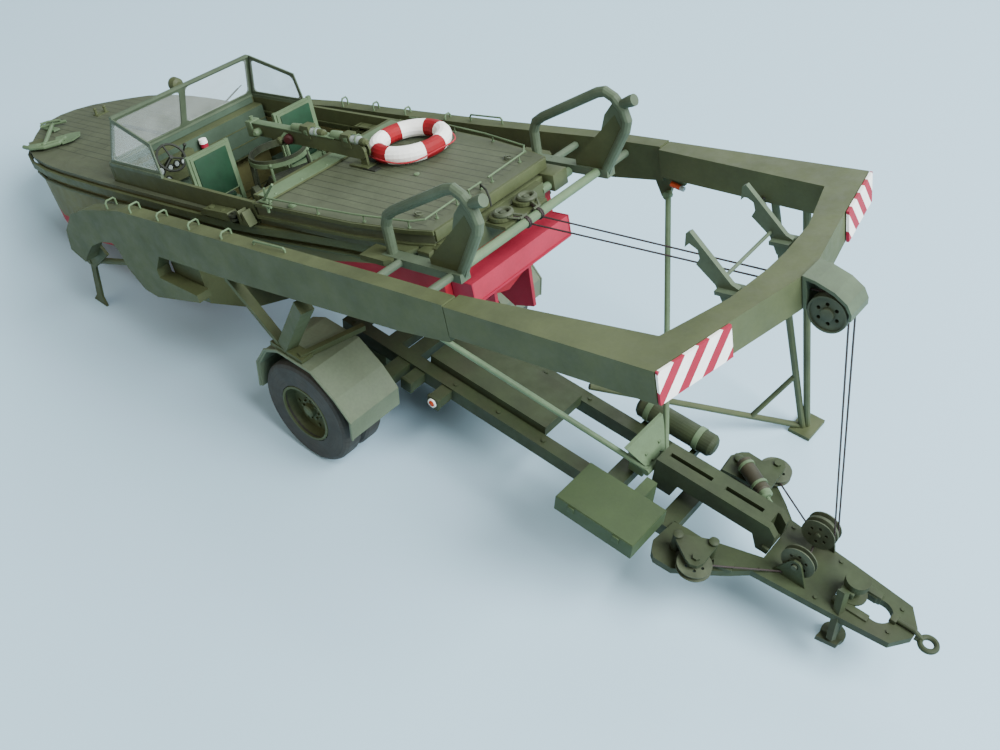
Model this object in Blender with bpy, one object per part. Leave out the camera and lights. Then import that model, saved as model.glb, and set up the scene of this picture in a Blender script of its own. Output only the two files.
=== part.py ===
import math

import bmesh
import bpy
from mathutils import Matrix, Vector

for old in list(bpy.data.objects):
    bpy.data.objects.remove(old)

MM = 0.001
SMOOTH_BELOW = math.radians(38)
BOAT_TILT = -13.4
BOAT_AT = (44.4, 0.0, 107.4)
CHASSIS_TILT = 3.0
CHASSIS_AT = (188.6, 0.0, 0.0)
ARM_IN = 51.0
ARM_OUT = 56.5
WHEEL_AT = (1.6, 43.4, 21.05)
HINGE_AT = (-58.0, 0.0, 6.0)


def frame(name, at, tilt, base=None):
    holder = bpy.data.objects.new(name, None)
    bpy.context.scene.collection.objects.link(holder)
    holder.parent = base
    holder.location = [c * MM for c in at]
    holder.rotation_euler = (0.0, math.radians(tilt), 0.0)
    return holder


WORLD = frame("ground", (0, 0, 0), 0)
BOAT = frame("boat_frame", BOAT_AT, BOAT_TILT, WORLD)
CHASSIS = frame("chassis_level", CHASSIS_AT, CHASSIS_TILT, WORLD)
MAST_PIN = frame("mast_pin", HINGE_AT, 0, BOAT)
WHEEL_PIN_LEFT = frame("wheel_pin_left", (WHEEL_AT[0], -WHEEL_AT[1], WHEEL_AT[2]), 0, WORLD)
WHEEL_PIN_RIGHT = frame("wheel_pin_right", WHEEL_AT, 0, WORLD)


def paint(name, colour, rough, metal=0.0):
    mat = bpy.data.materials.new(name)
    mat.use_nodes = True
    shader = mat.node_tree.nodes["Principled BSDF"]
    shader.inputs["Base Color"].default_value = (*colour, 1.0)
    shader.inputs["Roughness"].default_value = rough
    shader.inputs["Metallic"].default_value = metal
    mat.diffuse_color = (*colour, 1.0)
    return mat


OLIVE = (0.105, 0.125, 0.070)
LIGHT = (0.190, 0.270, 0.160)
RED = (0.560, 0.030, 0.060)
BLACK = (0.020, 0.021, 0.022)
WHITE = (0.800, 0.790, 0.760)
GREEN = (0.040, 0.220, 0.130)
GREY = (0.150, 0.160, 0.150)
CLEAR = (0.550, 0.620, 0.660)


def box(x0, x1, y0, y1, z0, z1):
    v = [(x, y, z) for z in (z0, z1) for y in (y0, y1) for x in (x0, x1)]
    f = [(0, 2, 3, 1), (4, 5, 7, 6), (0, 1, 5, 4), (2, 6, 7, 3), (0, 4, 6, 2), (1, 3, 7, 5)]
    return v, f


def loft(rings):
    n = len(rings[0])
    v = [tuple(p) for ring in rings for p in ring]
    f = []
    for k in range(len(rings) - 1):
        for i in range(n):
            j = (i + 1) % n
            f.append((k * n + i, k * n + j, (k + 1) * n + j, (k + 1) * n + i))
    f.append(tuple(range(n - 1, -1, -1)))
    last = (len(rings) - 1) * n
    f.append(tuple(range(last, last + n)))
    return v, f


def prism(outline, axis, lo, hi):
    def point(p, t):
        if axis == "x":
            return (t, p[0], p[1])
        if axis == "y":
            return (p[0], t, p[1])
        return (p[0], p[1], t)
    return loft([[point(p, lo) for p in outline], [point(p, hi) for p in outline]])


def across(direction):
    d = Vector(direction).normalized()
    side = d.cross(Vector((0, 0, 1)))
    if side.length < 0.05:
        side = d.cross(Vector((1, 0, 0)))
    side.normalize()
    return side, side.cross(d).normalized()


def pipe(points, r, n=12, flat=None):
    """Sweep a round or flattened ring along points, mitred at each bend."""
    pts = [Vector(p) for p in points]
    rings = []
    a, b = across(pts[1] - pts[0])
    for k, p in enumerate(pts):
        before = (p - pts[k - 1]).normalized() if k else (pts[1] - p).normalized()
        after = (pts[k + 1] - p).normalized() if k < len(pts) - 1 else before
        d = (before + after).normalized()
        stretch = 1.0 / max(0.5, d.dot(before))
        a = (a - d * a.dot(d)).normalized()
        b = d.cross(a).normalized()
        bend = after - before
        ring = []
        for i in range(n):
            t = 2 * math.pi * (i + 0.5) / n
            off = a * math.cos(t) * r + b * math.sin(t) * (flat or r)
            if bend.length > 1e-4:
                e = bend.normalized()
                off = off + e * off.dot(e) * (stretch - 1.0)
            ring.append(p + off)
        rings.append(ring)
    return loft(rings)


def rod(p, q, r, n=12):
    return pipe([p, q], r, n)


def bar(p, q, wide, tall):
    half_diagonal = 0.7071
    return pipe([p, q], wide * half_diagonal, 4, tall * half_diagonal)


def turned(profile, at, axis, n=32):
    d = Vector(axis).normalized()
    a, b = across(d)
    rings = []
    for along, r in profile:
        centre = Vector(at) + d * along
        spokes = [2 * math.pi * i / n for i in range(n)]
        rings.append([centre + (a * math.cos(t) + b * math.sin(t)) * r for t in spokes])
    return loft(rings)


def hoop(at, axis, big, small, n=40, m=10):
    d = Vector(axis).normalized()
    a, b = across(d)
    v = []
    f = []
    for i in range(n):
        s = 2 * math.pi * i / n
        out = a * math.cos(s) + b * math.sin(s)
        for j in range(m):
            t = 2 * math.pi * j / m
            v.append(tuple(Vector(at) + out * (big + small * math.cos(t)) + d * small * math.sin(t)))
            k = (i + 1) % n
            f.append((i * m + j, i * m + (j + 1) % m, k * m + (j + 1) % m, k * m + j))
    return v, f


def band_ring(at, big, thick, tall, n=32):
    """A flat upright band bent to a circle about z."""
    v = []
    f = []
    for i in range(n):
        t = 2 * math.pi * i / n
        for r, z in ((big, -tall / 2), (big + thick, -tall / 2), (big + thick, tall / 2), (big, tall / 2)):
            v.append((at[0] + r * math.cos(t), at[1] + r * math.sin(t), at[2] + z))
        k = (i + 1) % n
        for j in range(4):
            f.append((i * 4 + j, i * 4 + (j + 1) % 4, k * 4 + (j + 1) % 4, k * 4 + j))
    return v, f


def flip(piece):
    v, f = piece
    return [(x, -y, z) for x, y, z in v], [tuple(reversed(face)) for face in f]


def mirrored(p):
    return Vector((p[0], -p[1], p[2]))


def between(frame_from, frame_to, point):
    """Move a point in mm from one frame's coordinates to another's."""
    bpy.context.view_layer.update()
    there = frame_to.matrix_world.inverted() @ frame_from.matrix_world @ (Vector(point) * MM)
    return there / MM


def mesh_of(name, piece):
    verts, faces = piece
    bm = bmesh.new()
    vs = [bm.verts.new(p) for p in verts]
    for face in faces:
        bm.faces.new([vs[i] for i in face])
    bmesh.ops.remove_doubles(bm, verts=bm.verts, dist=1e-4)
    bmesh.ops.recalc_face_normals(bm, faces=bm.faces)
    mesh = bpy.data.meshes.new(name)
    bm.to_mesh(mesh)
    bm.free()
    return mesh


def part(name, pieces, colour, rough=0.7, metal=0.0, holder=WORLD, cuts=(), late=()):
    """Union the pieces, cut the cuts out, then union the late pieces, all in mm."""
    scene = bpy.context.scene
    obj = bpy.data.objects.new(name, mesh_of(name, pieces[0]))
    scene.collection.objects.link(obj)
    tools = []
    for kind, group in (("UNION", pieces[1:]), ("DIFFERENCE", cuts), ("UNION", late)):
        for piece in group:
            tool = bpy.data.objects.new(name + "_tool", mesh_of(name + "_tool", piece))
            scene.collection.objects.link(tool)
            tools.append(tool)
            mod = obj.modifiers.new(kind.lower(), "BOOLEAN")
            mod.operation = kind
            mod.solver = "EXACT"
            mod.object = tool
    if tools:
        graph = bpy.context.evaluated_depsgraph_get()
        done = bpy.data.meshes.new_from_object(obj.evaluated_get(graph))
        obj.modifiers.clear()
        obj.data = done
        for tool in tools:
            bpy.data.objects.remove(tool)
    obj.data.transform(Matrix.Scale(MM, 4))
    obj.data.name = name
    obj.data.materials.clear()
    obj.data.materials.append(paint(name, colour, rough, metal))
    obj.data.shade_smooth()
    obj.data.set_sharp_from_angle(angle=SMOOTH_BELOW)
    obj.parent = holder
    return obj


def pair(name, pieces, colour, rough=0.7, holder=WORLD, cuts=()):
    part(name + "_left", pieces, colour, rough, 0.0, holder, cuts)
    part(name + "_right", [flip(p) for p in pieces], colour, rough, 0.0, holder, [flip(c) for c in cuts])


# Deck edge: distance along the boat and half width, from the blunt bow to the stern.
EDGE = [(-272, 0), (-270.6, 7), (-266.5, 14), (-259.5, 20.5), (-251.5, 27), (-245, 31.5), (-234, 35.7),
        (-219, 38.2), (-205, 39.1), (-175, 39.4), (-131, 38.8), (-93, 38), (-77, 36.4), (-65, 34.6),
        (-41, 31.4), (-20, 29.4), (0.5, 28.2)]


def grown(outline, d):
    out = []
    n = len(outline)
    for i in range(n):
        p = Vector(outline[i])
        a = (p - Vector(outline[i - 1])) if i else (Vector(outline[1]) - p)
        b = (Vector(outline[i + 1]) - p) if i < n - 1 else a
        t = (a.normalized() + b.normalized()).normalized()
        out.append((p.x - t.y * d, p.y + t.x * d))
    return out


def edge_band(out, inn, lo, hi):
    path = [(x, -y) for x, y in reversed(EDGE[1:])] + EDGE
    return prism(grown(path, out) + grown(path, inn)[::-1], "z", lo, hi)


# Hull sections: along, deck and side half widths, chine half width, chine and keel heights.
SECTIONS = [(-271.2, 5.5, 4.5, 2.5, -24, -27), (-266.5, 13.8, 13.0, 10, -29.5, -33.5),
            (-259, 20.6, 19.8, 17, -34, -39), (-251, 27.0, 26.6, 24.5, -38, -43), (-242, 32.2, 32.0, 31, -40, -46),
            (-230, 36.2, 36.0, 35, -41, -47.5), (-215, 38.3, 38.1, 36.6, -41, -48.5), (-200, 39.0, 38.8, 37, -41, -49),
            (-170, 39.2, 38.9, 36, -40, -49), (-131, 38.6, 38.3, 35.8, -38.5, -48),
            (-93, 37.8, 37.4, 34.8, -36.5, -46), (-65, 34.3, 34.0, 32.0, -34, -43),
            (-41, 31.1, 30.9, 29.4, -31.5, -40), (-20, 29.1, 29.0, 27.8, -29.5, -38), (0, 27.8, 27.7, 26.8, -28, -36)]
rings = []
for u, b, b1, c, wc, wk in SECTIONS:
    rings.append([(u, b, -8.3), (u, b1, -22), (u, c, wc), (u, 0, wk), (u, -c, wc), (u, -b1, -22), (u, -b, -8.3)])
part("hull", [loft(rings)], RED, 0.6, holder=BOAT, cuts=[box(-165.2, -79, -34.6, 34.6, -33, 0)])

deck_line = [(x, -y) for x, y in reversed(EDGE[1:13])] + EDGE[:13]
part("foredeck", [prism(grown(deck_line, 0.3), "z", -8.0, -6.6)], OLIVE, holder=BOAT,
     cuts=[box(-168.4, -60, -37.0, 37.0, -12, 0), box(-76.8, -60, -50, 50, -12, 0)])
part("upper_rubbing_strake", [edge_band(1.9, 0.6, -11.4, -8.5)], OLIVE, holder=BOAT)
aft = [(-76.4, -36.0), (-60, -35.0), (-30, -33.2), (-8, -29.6), (0, -27.4), (0, 27.4), (-8, 29.6), (-30, 33.2),
       (-60, 35.0), (-76.4, 36.0)]
part("aft_deck", [prism(aft, "z", -8.0, 0)], OLIVE, holder=BOAT)

# Cockpit: coaming, front bulkhead with the instrument panel, aft bulkhead and its pale top plate.
lining = [box(-168, -166.2, -36.6, 36.6, -8.0, 0),
          box(-167.5, -77.2, -36.5, -35.2, -8.0, -0.1),
          box(-167.5, -77.2, 35.2, 36.5, -8.0, -0.1),
          box(-167, -164, -34.3, 34.3, -7.5, -2.2),
          box(-165.0, -160, -34.3, 34.3, -20, -2.0),
          box(-160.5, -156, -34.3, -6, -14, -4.5),
          box(-80.6, -79.3, -34.0, 34.0, -32.6, -1),
          box(-80, -77.2, -36, 36, -8, -3),
          box(-80.2, -77.5, -33.4, 33.4, -4, 1.0),
          box(-78.5, -70.5, -33.2, 33.2, 0.3, 0.9)]
part("cockpit_coaming", lining, OLIVE, holder=BOAT)

foot = Vector((-167.2, 35.9, 1.2))
top = Vector((-159, 33.8, 18.7))
mid = Vector((-133.9, 35.3, 12.5))
low = Vector((-132.4, 35.9, 1.2))
foot_mid = (foot + mirrored(foot)) / 2
top_mid = (top + mirrored(top)) / 2
SCREEN_R = 0.9
screen = [pipe([foot, top, mid, low], SCREEN_R, 8),
          pipe([mirrored(foot), mirrored(top), mirrored(mid), mirrored(low)], SCREEN_R, 8),
          rod(foot, mirrored(foot), SCREEN_R, 8),
          rod(top, mirrored(top), SCREEN_R, 8),
          rod(foot, low, SCREEN_R, 8),
          rod(mirrored(foot), mirrored(low), SCREEN_R, 8),
          rod(foot_mid, top_mid, 0.8, 8)]
part("windscreen_frame", screen, OLIVE, holder=BOAT)


def pane(corners, inset, thick):
    c = [Vector(p) for p in corners]
    face = (c[1] - c[0]).cross(c[2] - c[0]).normalized()
    inner = []
    n = len(c)
    for i in range(n):
        a = face.cross((c[i] - c[i - 1]).normalized())
        b = face.cross((c[(i + 1) % n] - c[i]).normalized())
        inner.append(c[i] + (a + b) * inset / (1 + a.dot(b)))
    return loft([[p - face * thick / 2 for p in inner], [p + face * thick / 2 for p in inner]])


pair("windscreen_pane", [pane([mirrored(foot), foot_mid, top_mid, mirrored(top)], 1.25, 0.4)], CLEAR, 0.1, BOAT)
pair("side_pane", [pane([mirrored(foot), mirrored(top), mirrored(mid), mirrored(low)], 1.25, 0.4)], CLEAR, 0.1, BOAT)

hub = Vector((-150, -20, -1.5))
column = Vector((0.82, 0, 0.57)).normalized()
side, up = across(column)
spokes = [math.pi / 2 + k * 2 * math.pi / 3 for k in range(3)]
wheel_parts = [hoop(hub, column, 5.6, 0.5, 32, 8), rod(hub - column * 6.0, hub + column * 0.6, 0.8, 10)]
for t in spokes:
    wheel_parts.append(rod(hub, hub + (side * math.cos(t) + up * math.sin(t)) * 5.5, 0.4, 8))
part("steering_wheel", wheel_parts, BLACK, 0.4, holder=BOAT)

seat = [box(-121.7, -120.2, -30.8, -29.2, -32.7, 7.1),
        box(-121.6, -120.3, -12.9, -11.3, -32.6, 7.0),
        box(-121.5, -120.4, -30.1, -12.1, 5.6, 6.9),
        box(-134, -120.9, -29.6, -12.6, -20, -16),
        box(-131, -126, -24, -18, -32.5, -19),
        box(-122.1, -119.8, -29.7, -12.4, -11.9, 6.2)]
pair("seat", seat, GREEN, holder=BOAT)

# Engine on its bed, a drum across it, and the ring guard on four legs round its intake.
RING_AT = (-108, 0, -2)
engine = [box(-121, -85, -10.9, 10.9, -32.7, -31.2),
          box(-117, -90, -14, 14, -32.7, -31.2),
          box(-116, -88, -9, 9, -32, -17),
          turned([(0, 3), (1.2, 5.4), (20, 5.4), (21.2, 3.4)], (-106, -9, -13.5), (0.35, 1, 0), 24),
          turned([(0, 5), (7, 5), (8, 3.6), (11, 3.6)], (-93, 0, -18), (0, 0, 1), 20),
          band_ring(RING_AT, 10.2, 0.8, 2.4)]
for x, y in ((-9.6, -5.2), (-4.6, -9.8), (9.0, 6.0), (2.8, 10.3)):
    leg_foot = (RING_AT[0] + x * 1.25, RING_AT[1] + y * 1.15, -32)
    engine.append(rod(leg_foot, (RING_AT[0] + x, RING_AT[1] + y, -2.4), 0.7, 8))
part("engine", engine, GREY, holder=BOAT)
part("bottle", [turned([(0, 2.2), (8.5, 2.2), (10.2, 1.3), (12.8, 1.3), (13.0, 1.6), (15.2, 1.6)],
                       (-157.2, 0, -19.6), (0, 0, 1), 18)], RED, holder=BOAT)

# The mast lies folded forward on its pin, in its own frame with the pin at the origin.
HEEL_R = 2.8
heel = [(HEEL_R * math.cos(t), HEEL_R * math.sin(t)) for t in [math.radians(a) for a in range(-95, 81, 25)]]
beam = [(-59.5, -1.4)] + heel + [(-12, 2.7), (-59.5, 3.2)]
mast = [prism(beam, "y", -1.5, 1.5), box(-61.4, -59.0, -2.0, 2.0, -1.9, 3.6),
        turned([(0, 1.5), (3.2, 1.5), (3.6, 1.0)], (-40.4, -1.3, -0.4), (0, -1, 0), 16),
        turned([(0, 1.1), (1.8, 1.1), (2.3, 0.6)], (-56.5, -1.3, 0.6), (0, -1, 0), 14)]
for x, z in ((-26.9, 3.9), (-5.4, 3.5)):
    mast += [box(x - 2.1, x + 2.1, -1.9, 1.9, z - 2.6, z + 2.2),
             turned([(0, 1.2), (1.0, 1.6), (6.6, 1.6)], (x - 8.0, 0.3, z), (1, 0, 0), 16),
             turned([(0, 1.35), (6.6, 1.35), (7.6, 0.8)], (x + 1.8, -0.2, z), (1, 0, 0), 16)]
pin = rod((0, -1.3, 0), (0, 1.3, 0), 0.6, 12)
part("mast", mast, LIGHT, holder=MAST_PIN, cuts=[box(-2.5, 5, -0.8, 0.8, -4, 2.2)], late=[pin])
part("mast_heel_lug", [box(-1.6, 1.6, -0.5, 0.5, -5.7, 0),
                       turned([(-0.5, 1.8), (0.5, 1.8)], (0, 0, 0), (0, 1, 0), 20),
                       box(-6, 3.4, -2.4, 2.4, -5.7, -5.2)],
     OLIVE, holder=MAST_PIN, cuts=[rod((0, -2, 0), (0, 2, 0), 0.85, 14)])
part("lifebuoy", [hoop((-51, 16.2, 3.5), (0, 0, 1), 12.0, 3.1, 48, 14)], WHITE, holder=BOAT)
lamp = [(0, 1.1), (0.7, 2.4), (3.2, 2.7), (3.7, 2.7), (3.7, 2.3)]
part("spotlight", [turned(lamp, (-160.4, 0, 19.4), (-1, 0, 0), 22), box(-161.0, -160.25, -0.9, 0.9, 18.6, 20.2)],
     GREY, holder=BOAT)

# Stock anchor on the port bow with its two deck chocks.
part("anchor", [box(-262, -252, -15.2, -12.2, -6.3, -5.5), box(-244, -236, -28.4, -25.6, -6.3, -5.5),
                rod((-261.5, -9.6, -4.9), (-235.6, -29.4, -4.9), 0.9, 8),
                rod((-262.6, -15.8, -4.9), (-255.4, -6.4, -4.9), 0.7, 8),
                pipe([(-233.4, -19.6, -4.6), (-231.0, -24.4, -4.8), (-234.2, -29.8, -4.9), (-240.4, -33.2, -4.8),
                      (-245.4, -33.6, -4.6)], 0.9, 8)],
     OLIVE, holder=BOAT)

# Push hoops on the stern quarters, each with its foot bar and stubs to the frame arm.
hoop_line = [(-10.4, -36, -6), (-10.2, -36, 4.5), (-8.6, -36, 7.8), (-5.4, -36, 9.9), (18.8, -36, 20.9),
             (22.0, -36, 21.6), (25.2, -36, 19.9), (28.2, -36, 16.2), (29.2, -36, 12.6), (28.2, -36, 9.4),
             (18.2, -36, -6.5)]
gusset = [(21.0, 14.0), (12.6, -8.2), (19.4, -8.2), (30.1, 11.6), (28.9, 16.6), (25.1, 18.8)]
push_hoop = [pipe(hoop_line, 1.7, 12),
             prism(gusset, "y", -36.8, -35.4),
             turned([(0, 1.4), (3.8, 1.9), (5.6, 1.9)], (27.7, -36, 18.0), (0.9, 0, 0.35), 14),
             box(-13, 20, -38.6, -34.4, -8.0, -5.2),
             rod((-5.2, -50.7, -6.4), (-5.2, -37, -6.4), 1.3, 12),
             rod((16.1, -50.7, -6.4), (16.1, -37, -6.4), 1.3, 12)]
pair("push_hoop", push_hoop, OLIVE, holder=BOAT)
part("hoop_cross_tube", [rod((16.1, -33.9, -6.0), (16.1, 33.9, -6.0), 1.5, 14)], LIGHT, holder=BOAT)
RING_Y = 5.8
stern_block = [box(0.3, 5.5, -19, 19, -11.5, -4.5), box(5.0, 13.8, -10.4, 10.4, -6.0, -4.8)]
for s in (-1, 1):
    stern_block.append(turned([(0, 3.4), (0.4, 4.0), (1.6, 4.0), (1.9, 3.4)], (8.6, s * RING_Y, -4.9), (0, 0, 1), 24))
part("stern_block", stern_block, OLIVE, holder=BOAT)
skeg = [(0.5, -21), (3.0, -21), (1.9, -47), (-7, -48.6), (-13.5, -44), (-13.5, -35.4), (0, -33.8), (0.5, -33.4)]
part("stern_sill", [box(0.3, 9.0, -24.5, 24.5, -26, -18.5), prism(skeg, "y", -9.7, -8.3),
                    prism(skeg, "y", 8.3, 9.7)], RED, holder=BOAT)

# Tilted cradle frame.
near_top = [(30, -2.4), (2, -2.4), (-48, -3), (-107, -3.8), (-134, -4.2), (-153, -7.3)]
far_top = [(30, -2.4), (2, -2.6), (-48, -4.8), (-107, -6.5), (-134, -7.0), (-153, -8.2)]
arm_rest = [(-161.5, -8.8), (-174, -12.9), (-184, -21.9), (-187, -31.2), (-178.5, -35.3), (-175, -31.8), (-167, -25.5),
            (-158, -22), (-149, -20.4), (-146, -22.9), (-144, -30.3), (-137, -38), (-129.5, -39.6), (-99.6, -34.7),
            (-100, -31.8), (-122, -29.5), (-122, -26), (-116.7, -19.4), (-78, -19.2), (-44, -18.3), (-7, -17.1),
            (9, -16.6), (30, -14.6)]
lug = [(24.4, -14.2), (30.0, -13.6), (33.6, -13.6), (29.4, -22.4), (27.0, -22.0)]
part("frame_arm_left", [prism(near_top + arm_rest, "y", -ARM_OUT, -ARM_IN)], OLIVE, holder=BOAT)
part("frame_arm_right", [prism(far_top + arm_rest, "y", ARM_IN, ARM_OUT), prism(lug, "y", 53.6, 55.6)], OLIVE,
     holder=BOAT)
saddle = [(-50.6, -39), (-34, -50.4), (-12, -57), (12, -57), (34, -50.4), (50.6, -39), (50.6, -21), (46, -26),
          (36.3, -38.2), (0, -47.9), (-36.3, -38.2), (-46, -26), (-50.6, -21)]
part("cradle_beam", [prism(saddle, "x", -121, -103)], OLIVE, holder=BOAT)
bow_v = [(30.3, 56.5), (99, 56.8), (104, 30.7), (109.5, 5), (109.5, -5), (104, -30.7), (99, -56.8), (30.3, -56.5),
         (30.3, -49.6), (91.7, -43.4), (98.3, -21), (99.8, -5), (99.8, 5), (98.3, 21), (91.7, 43.4), (30.3, 49.6)]
LINE_Y = 1.9
LINE_W = -7.9
line_holes = [rod((95, s * LINE_Y, LINE_W), (114, s * LINE_Y, LINE_W), 0.9, 12) for s in (-1, 1)]
part("frame_front", [prism(bow_v, "z", -12.6, -2.8)], OLIVE, holder=BOAT, cuts=line_holes)
pair("stripe_plate", [prism([(99.3, -56.6), (104.2, -31.4), (105.0, -31.6), (100.1, -56.8)], "z", -12.4, -2.8)],
     WHITE, holder=BOAT)

# Apex hood over two rope sheaves on one pin.
SHEAVE_U = 116.4
SHEAVE_W = -12.6
ROPE_R = 4.9
hood_over = [(109.8, -2.4), (113.5, -3.2), (118.7, -5.4), (122.1, -8.2), (123.2, -11.0), (123.0, -13.0)]
hood_under = [(122.3, -13.0), (122.5, -11.2), (121.4, -8.8), (118.2, -6.3), (113.2, -4.1), (109.8, -3.3)]
web = [(110.2, -10.4), (115.8, -10.8), (118.2, -12.6), (116.6, -14.4), (110.2, -12.4)]
part("apex_housing", [prism(hood_over + hood_under, "y", -4.9, 4.9), box(109.8, 110.8, -4.9, 4.9, -12.4, -2.8),
                      prism(web, "y", -0.45, 0.45)],
     OLIVE, holder=BOAT, cuts=[rod((SHEAVE_U, -9, SHEAVE_W), (SHEAVE_U, 9, SHEAVE_W), 1.1, 14)] + line_holes)
# Sheave profiles: distance along the pin from the middle of the groove, and radius.
SINGLE = [(-1.1, 1.2), (-1.1, 5.6), (-0.75, 5.6), (-0.55, 4.2), (0.55, 4.2), (0.75, 5.6), (1.1, 5.6), (1.1, 1.2)]
DOUBLE = [(-2.5, 1.0), (-2.5, 5.6), (-2.1, 5.6), (-1.7, 4.3), (-0.9, 4.3), (-0.5, 5.6), (0.5, 5.6), (0.9, 4.3),
          (1.7, 4.3), (2.1, 5.6), (2.5, 5.6), (2.5, 1.0)]
TWIN = [(-4.3, 0.6), (-4.3, 5.6), (-2.85, 5.6), (-2.55, 4.3), (-1.25, 4.3), (-0.95, 5.6), (-0.75, 5.6), (-0.75, 0.8),
        (0.75, 0.8), (0.75, 5.6), (0.95, 5.6), (1.25, 4.3), (2.55, 4.3), (2.85, 5.6), (4.3, 5.6), (4.3, 0.6)]


def sheave(profile, at, axis, spans=((-2.7, 2.7),)):
    a, b = across(axis)
    d = Vector(axis).normalized()
    cuts = []
    for k in range(6):
        t = math.pi * (k + 0.5) / 3
        c = Vector(at) + (a * math.cos(t) + b * math.sin(t)) * 2.9
        cuts += [rod(c + d * lo, c + d * hi, 0.6, 8) for lo, hi in spans]
    return turned(profile, at, axis, 32), cuts


disc, holes = sheave(TWIN, (SHEAVE_U, 0, SHEAVE_W), (0, 1, 0), ((-4.5, -0.5), (0.5, 4.5)))
part("apex_sheave", [disc], GREY, holder=BOAT, cuts=holes)

hook = [(84.6, 10.9), (83.4, 10.2), (82.7, 6.0), (84.2, 7.4), (86.6, 6.0), (87.0, 3.6), (85.8, 1.6), (91.2, -3.4),
        (93.0, -8.6), (96.2, -11.6), (98.0, -11.6), (98.0, -3.2), (96.0, -2.2)]
hook_parts = [prism(hook, "y", -16.3, -14.7), box(92.0, 98.0, -18.4, -12.6, -5.0, -3.8),
              prism(hook, "y", 12.2, 13.8), box(92.0, 98.0, 10.1, 15.9, -5.0, -3.8),
              rod((92.3, -15.5, -2.4), (91.4, 13.0, -2.2), 0.55, 8)]
part("hook_arms", hook_parts, LIGHT, holder=BOAT)

# Running gear.
guard = [(-21.8, 21.4), (-21.2, 33.5), (-15.6, 42.5), (-8.5, 46.1), (8.5, 46), (19.5, 39.3), (26.6, 32.5),
         (26.7, 24.4)]
guard_inside = [(25.6, 24.4), (25.4, 31.9), (18.7, 38.2), (8.1, 44.8), (-8.3, 44.9), (-14.8, 41.6), (-20.0, 32.8),
                (-20.7, 21.4)]
skirt = [(8.4, 45.2), (19, 38.9), (25.6, 32.3), (25.6, 24.4), (24, 24.4), (24, 28), (17, 35), (8, 41.5), (-8, 42.5),
         (-8, 45.2)]
pair("mudguard", [prism(guard + guard_inside, "y", -53, -29.4), prism(skirt, "y", -30.5, -29.7)], OLIVE)
tyre = [(-9.3, 5), (-9.3, 19.2), (-8.7, 20.4), (-7.6, 21), (-2.4, 21), (-1.3, 20.4), (-0.7, 19.2), (-0.7, 12),
        (0.7, 12), (0.7, 19.2), (1.3, 20.4), (2.4, 21), (7.6, 21), (8.7, 20.4), (9.3, 19.2), (9.3, 5)]
for holder, label, s in ((WHEEL_PIN_LEFT, "left", 1), (WHEEL_PIN_RIGHT, "right", -1)):
    dish = turned([(-10.4, 12.2), (-8.4, 11.6), (-4.6, 10.4)], (0, 0, 0), (0, s, 0), 32)
    hole = turned([(4.2, 10.8), (10.4, 11.2)], (0, 0, 0), (0, s, 0), 32)
    boss = turned([(-8.2, 1.6), (-7.8, 2.4), (-6.2, 2.8), (-6.0, 4.6), (-4.2, 4.8)], (0, 0, 0), (0, s, 0), 24)
    part("wheels_" + label, [turned(tyre, (0, 0, 0), (0, s, 0), 48)], BLACK, 0.8, holder=holder,
         cuts=[dish, hole], late=[boss])
AXLE_END = 38.8
part("axle", [rod((WHEEL_AT[0], -AXLE_END, WHEEL_AT[2]), (WHEEL_AT[0], AXLE_END, WHEEL_AT[2]), 2.4, 16),
              box(-4, 7, -16, -11, 20, 26.2), box(-4, 7, 11, 16, 20, 26.2)], OLIVE)
pair("mudguard_struts", [bar((-27.5, -53.6, 69.7), (-8, -50, 47.6), 4.0, 1.4),
                         bar((11, -53.6, 76.9), (-6.0, -49.8, 47.9), 5.0, 5.0),
                         bar((1.6, -51.4, 47.7), (7.2, -25.5, 47.7), 2.2, 2.2),
                         box(-12, 4, -52.6, -47.4, 46.4, 48)], OLIVE)
pair("rear_prop", [prism([(-131, 22.8), (-127, 22.4), (-114, 35), (-120, 39)], "y", -50.7, -49.4),
                   rod((-131, -49, 24.3), (-128.5, -49, 25), 2.2, 14),
                   prism([(-131.6, 22.4), (-129.6, 24.6), (-128.2, 23.6), (-130.4, 4.0), (-128.6, 0.2), (-137.4, 0.2),
                          (-134.4, 4.0)], "y", -49.7, -48.6),
                   rod((-129.3, -49, 24.4), (-100, -47.8, 36.6), 1.3, 12)], OLIVE)

# Level chassis, measured from the jack.
ladder = [box(-205, -57.2, -16.2, -10.9, 17, 22.5),
          box(-205, -57.2, 10.9, 16.2, 17, 22.5),
          box(-176, -170, -30.2, 30.2, 17.5, 22.0),
          box(-167.4, -162.6, -22.6, -15, 17.6, 21.8),
          box(-154.4, -149.6, -22.6, -15, 17.6, 21.8)]
for x in (-90, -70):
    ladder.append(box(x, x + 2, 15, 22, 18.4, 21.6))
for x in (-205, -186, -85.3, -62):
    ladder.append(box(x, x + 6.5, -12, 12, 17.5, 22.0))
part("chassis_frame", ladder, OLIVE, holder=CHASSIS)
part("tray", [box(-165, -111.8, -10.5, 10.5, 20.8, 25.4)], OLIVE, holder=CHASSIS)
beam_side = [(-71.4, 22.8), (-64, 22.8), (-62, 28.8), (-34, 28.8), (-31.6, 23.5), (-27.6, 23.5), (-26.8, 28.5),
             (-26.8, 32.5), (-29.5, 35.5), (-71.4, 35.5)]
part("centre_beam", [prism(beam_side, "y", -4.9, 4.9)], OLIVE, holder=CHASSIS,
     cuts=[box(-69, -53, -0.8, 0.8, 31, 40), box(-48, -34.2, -0.8, 0.8, 31, 40), box(-30.4, -20, -2.4, 2.4, 20, 40)])

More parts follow.
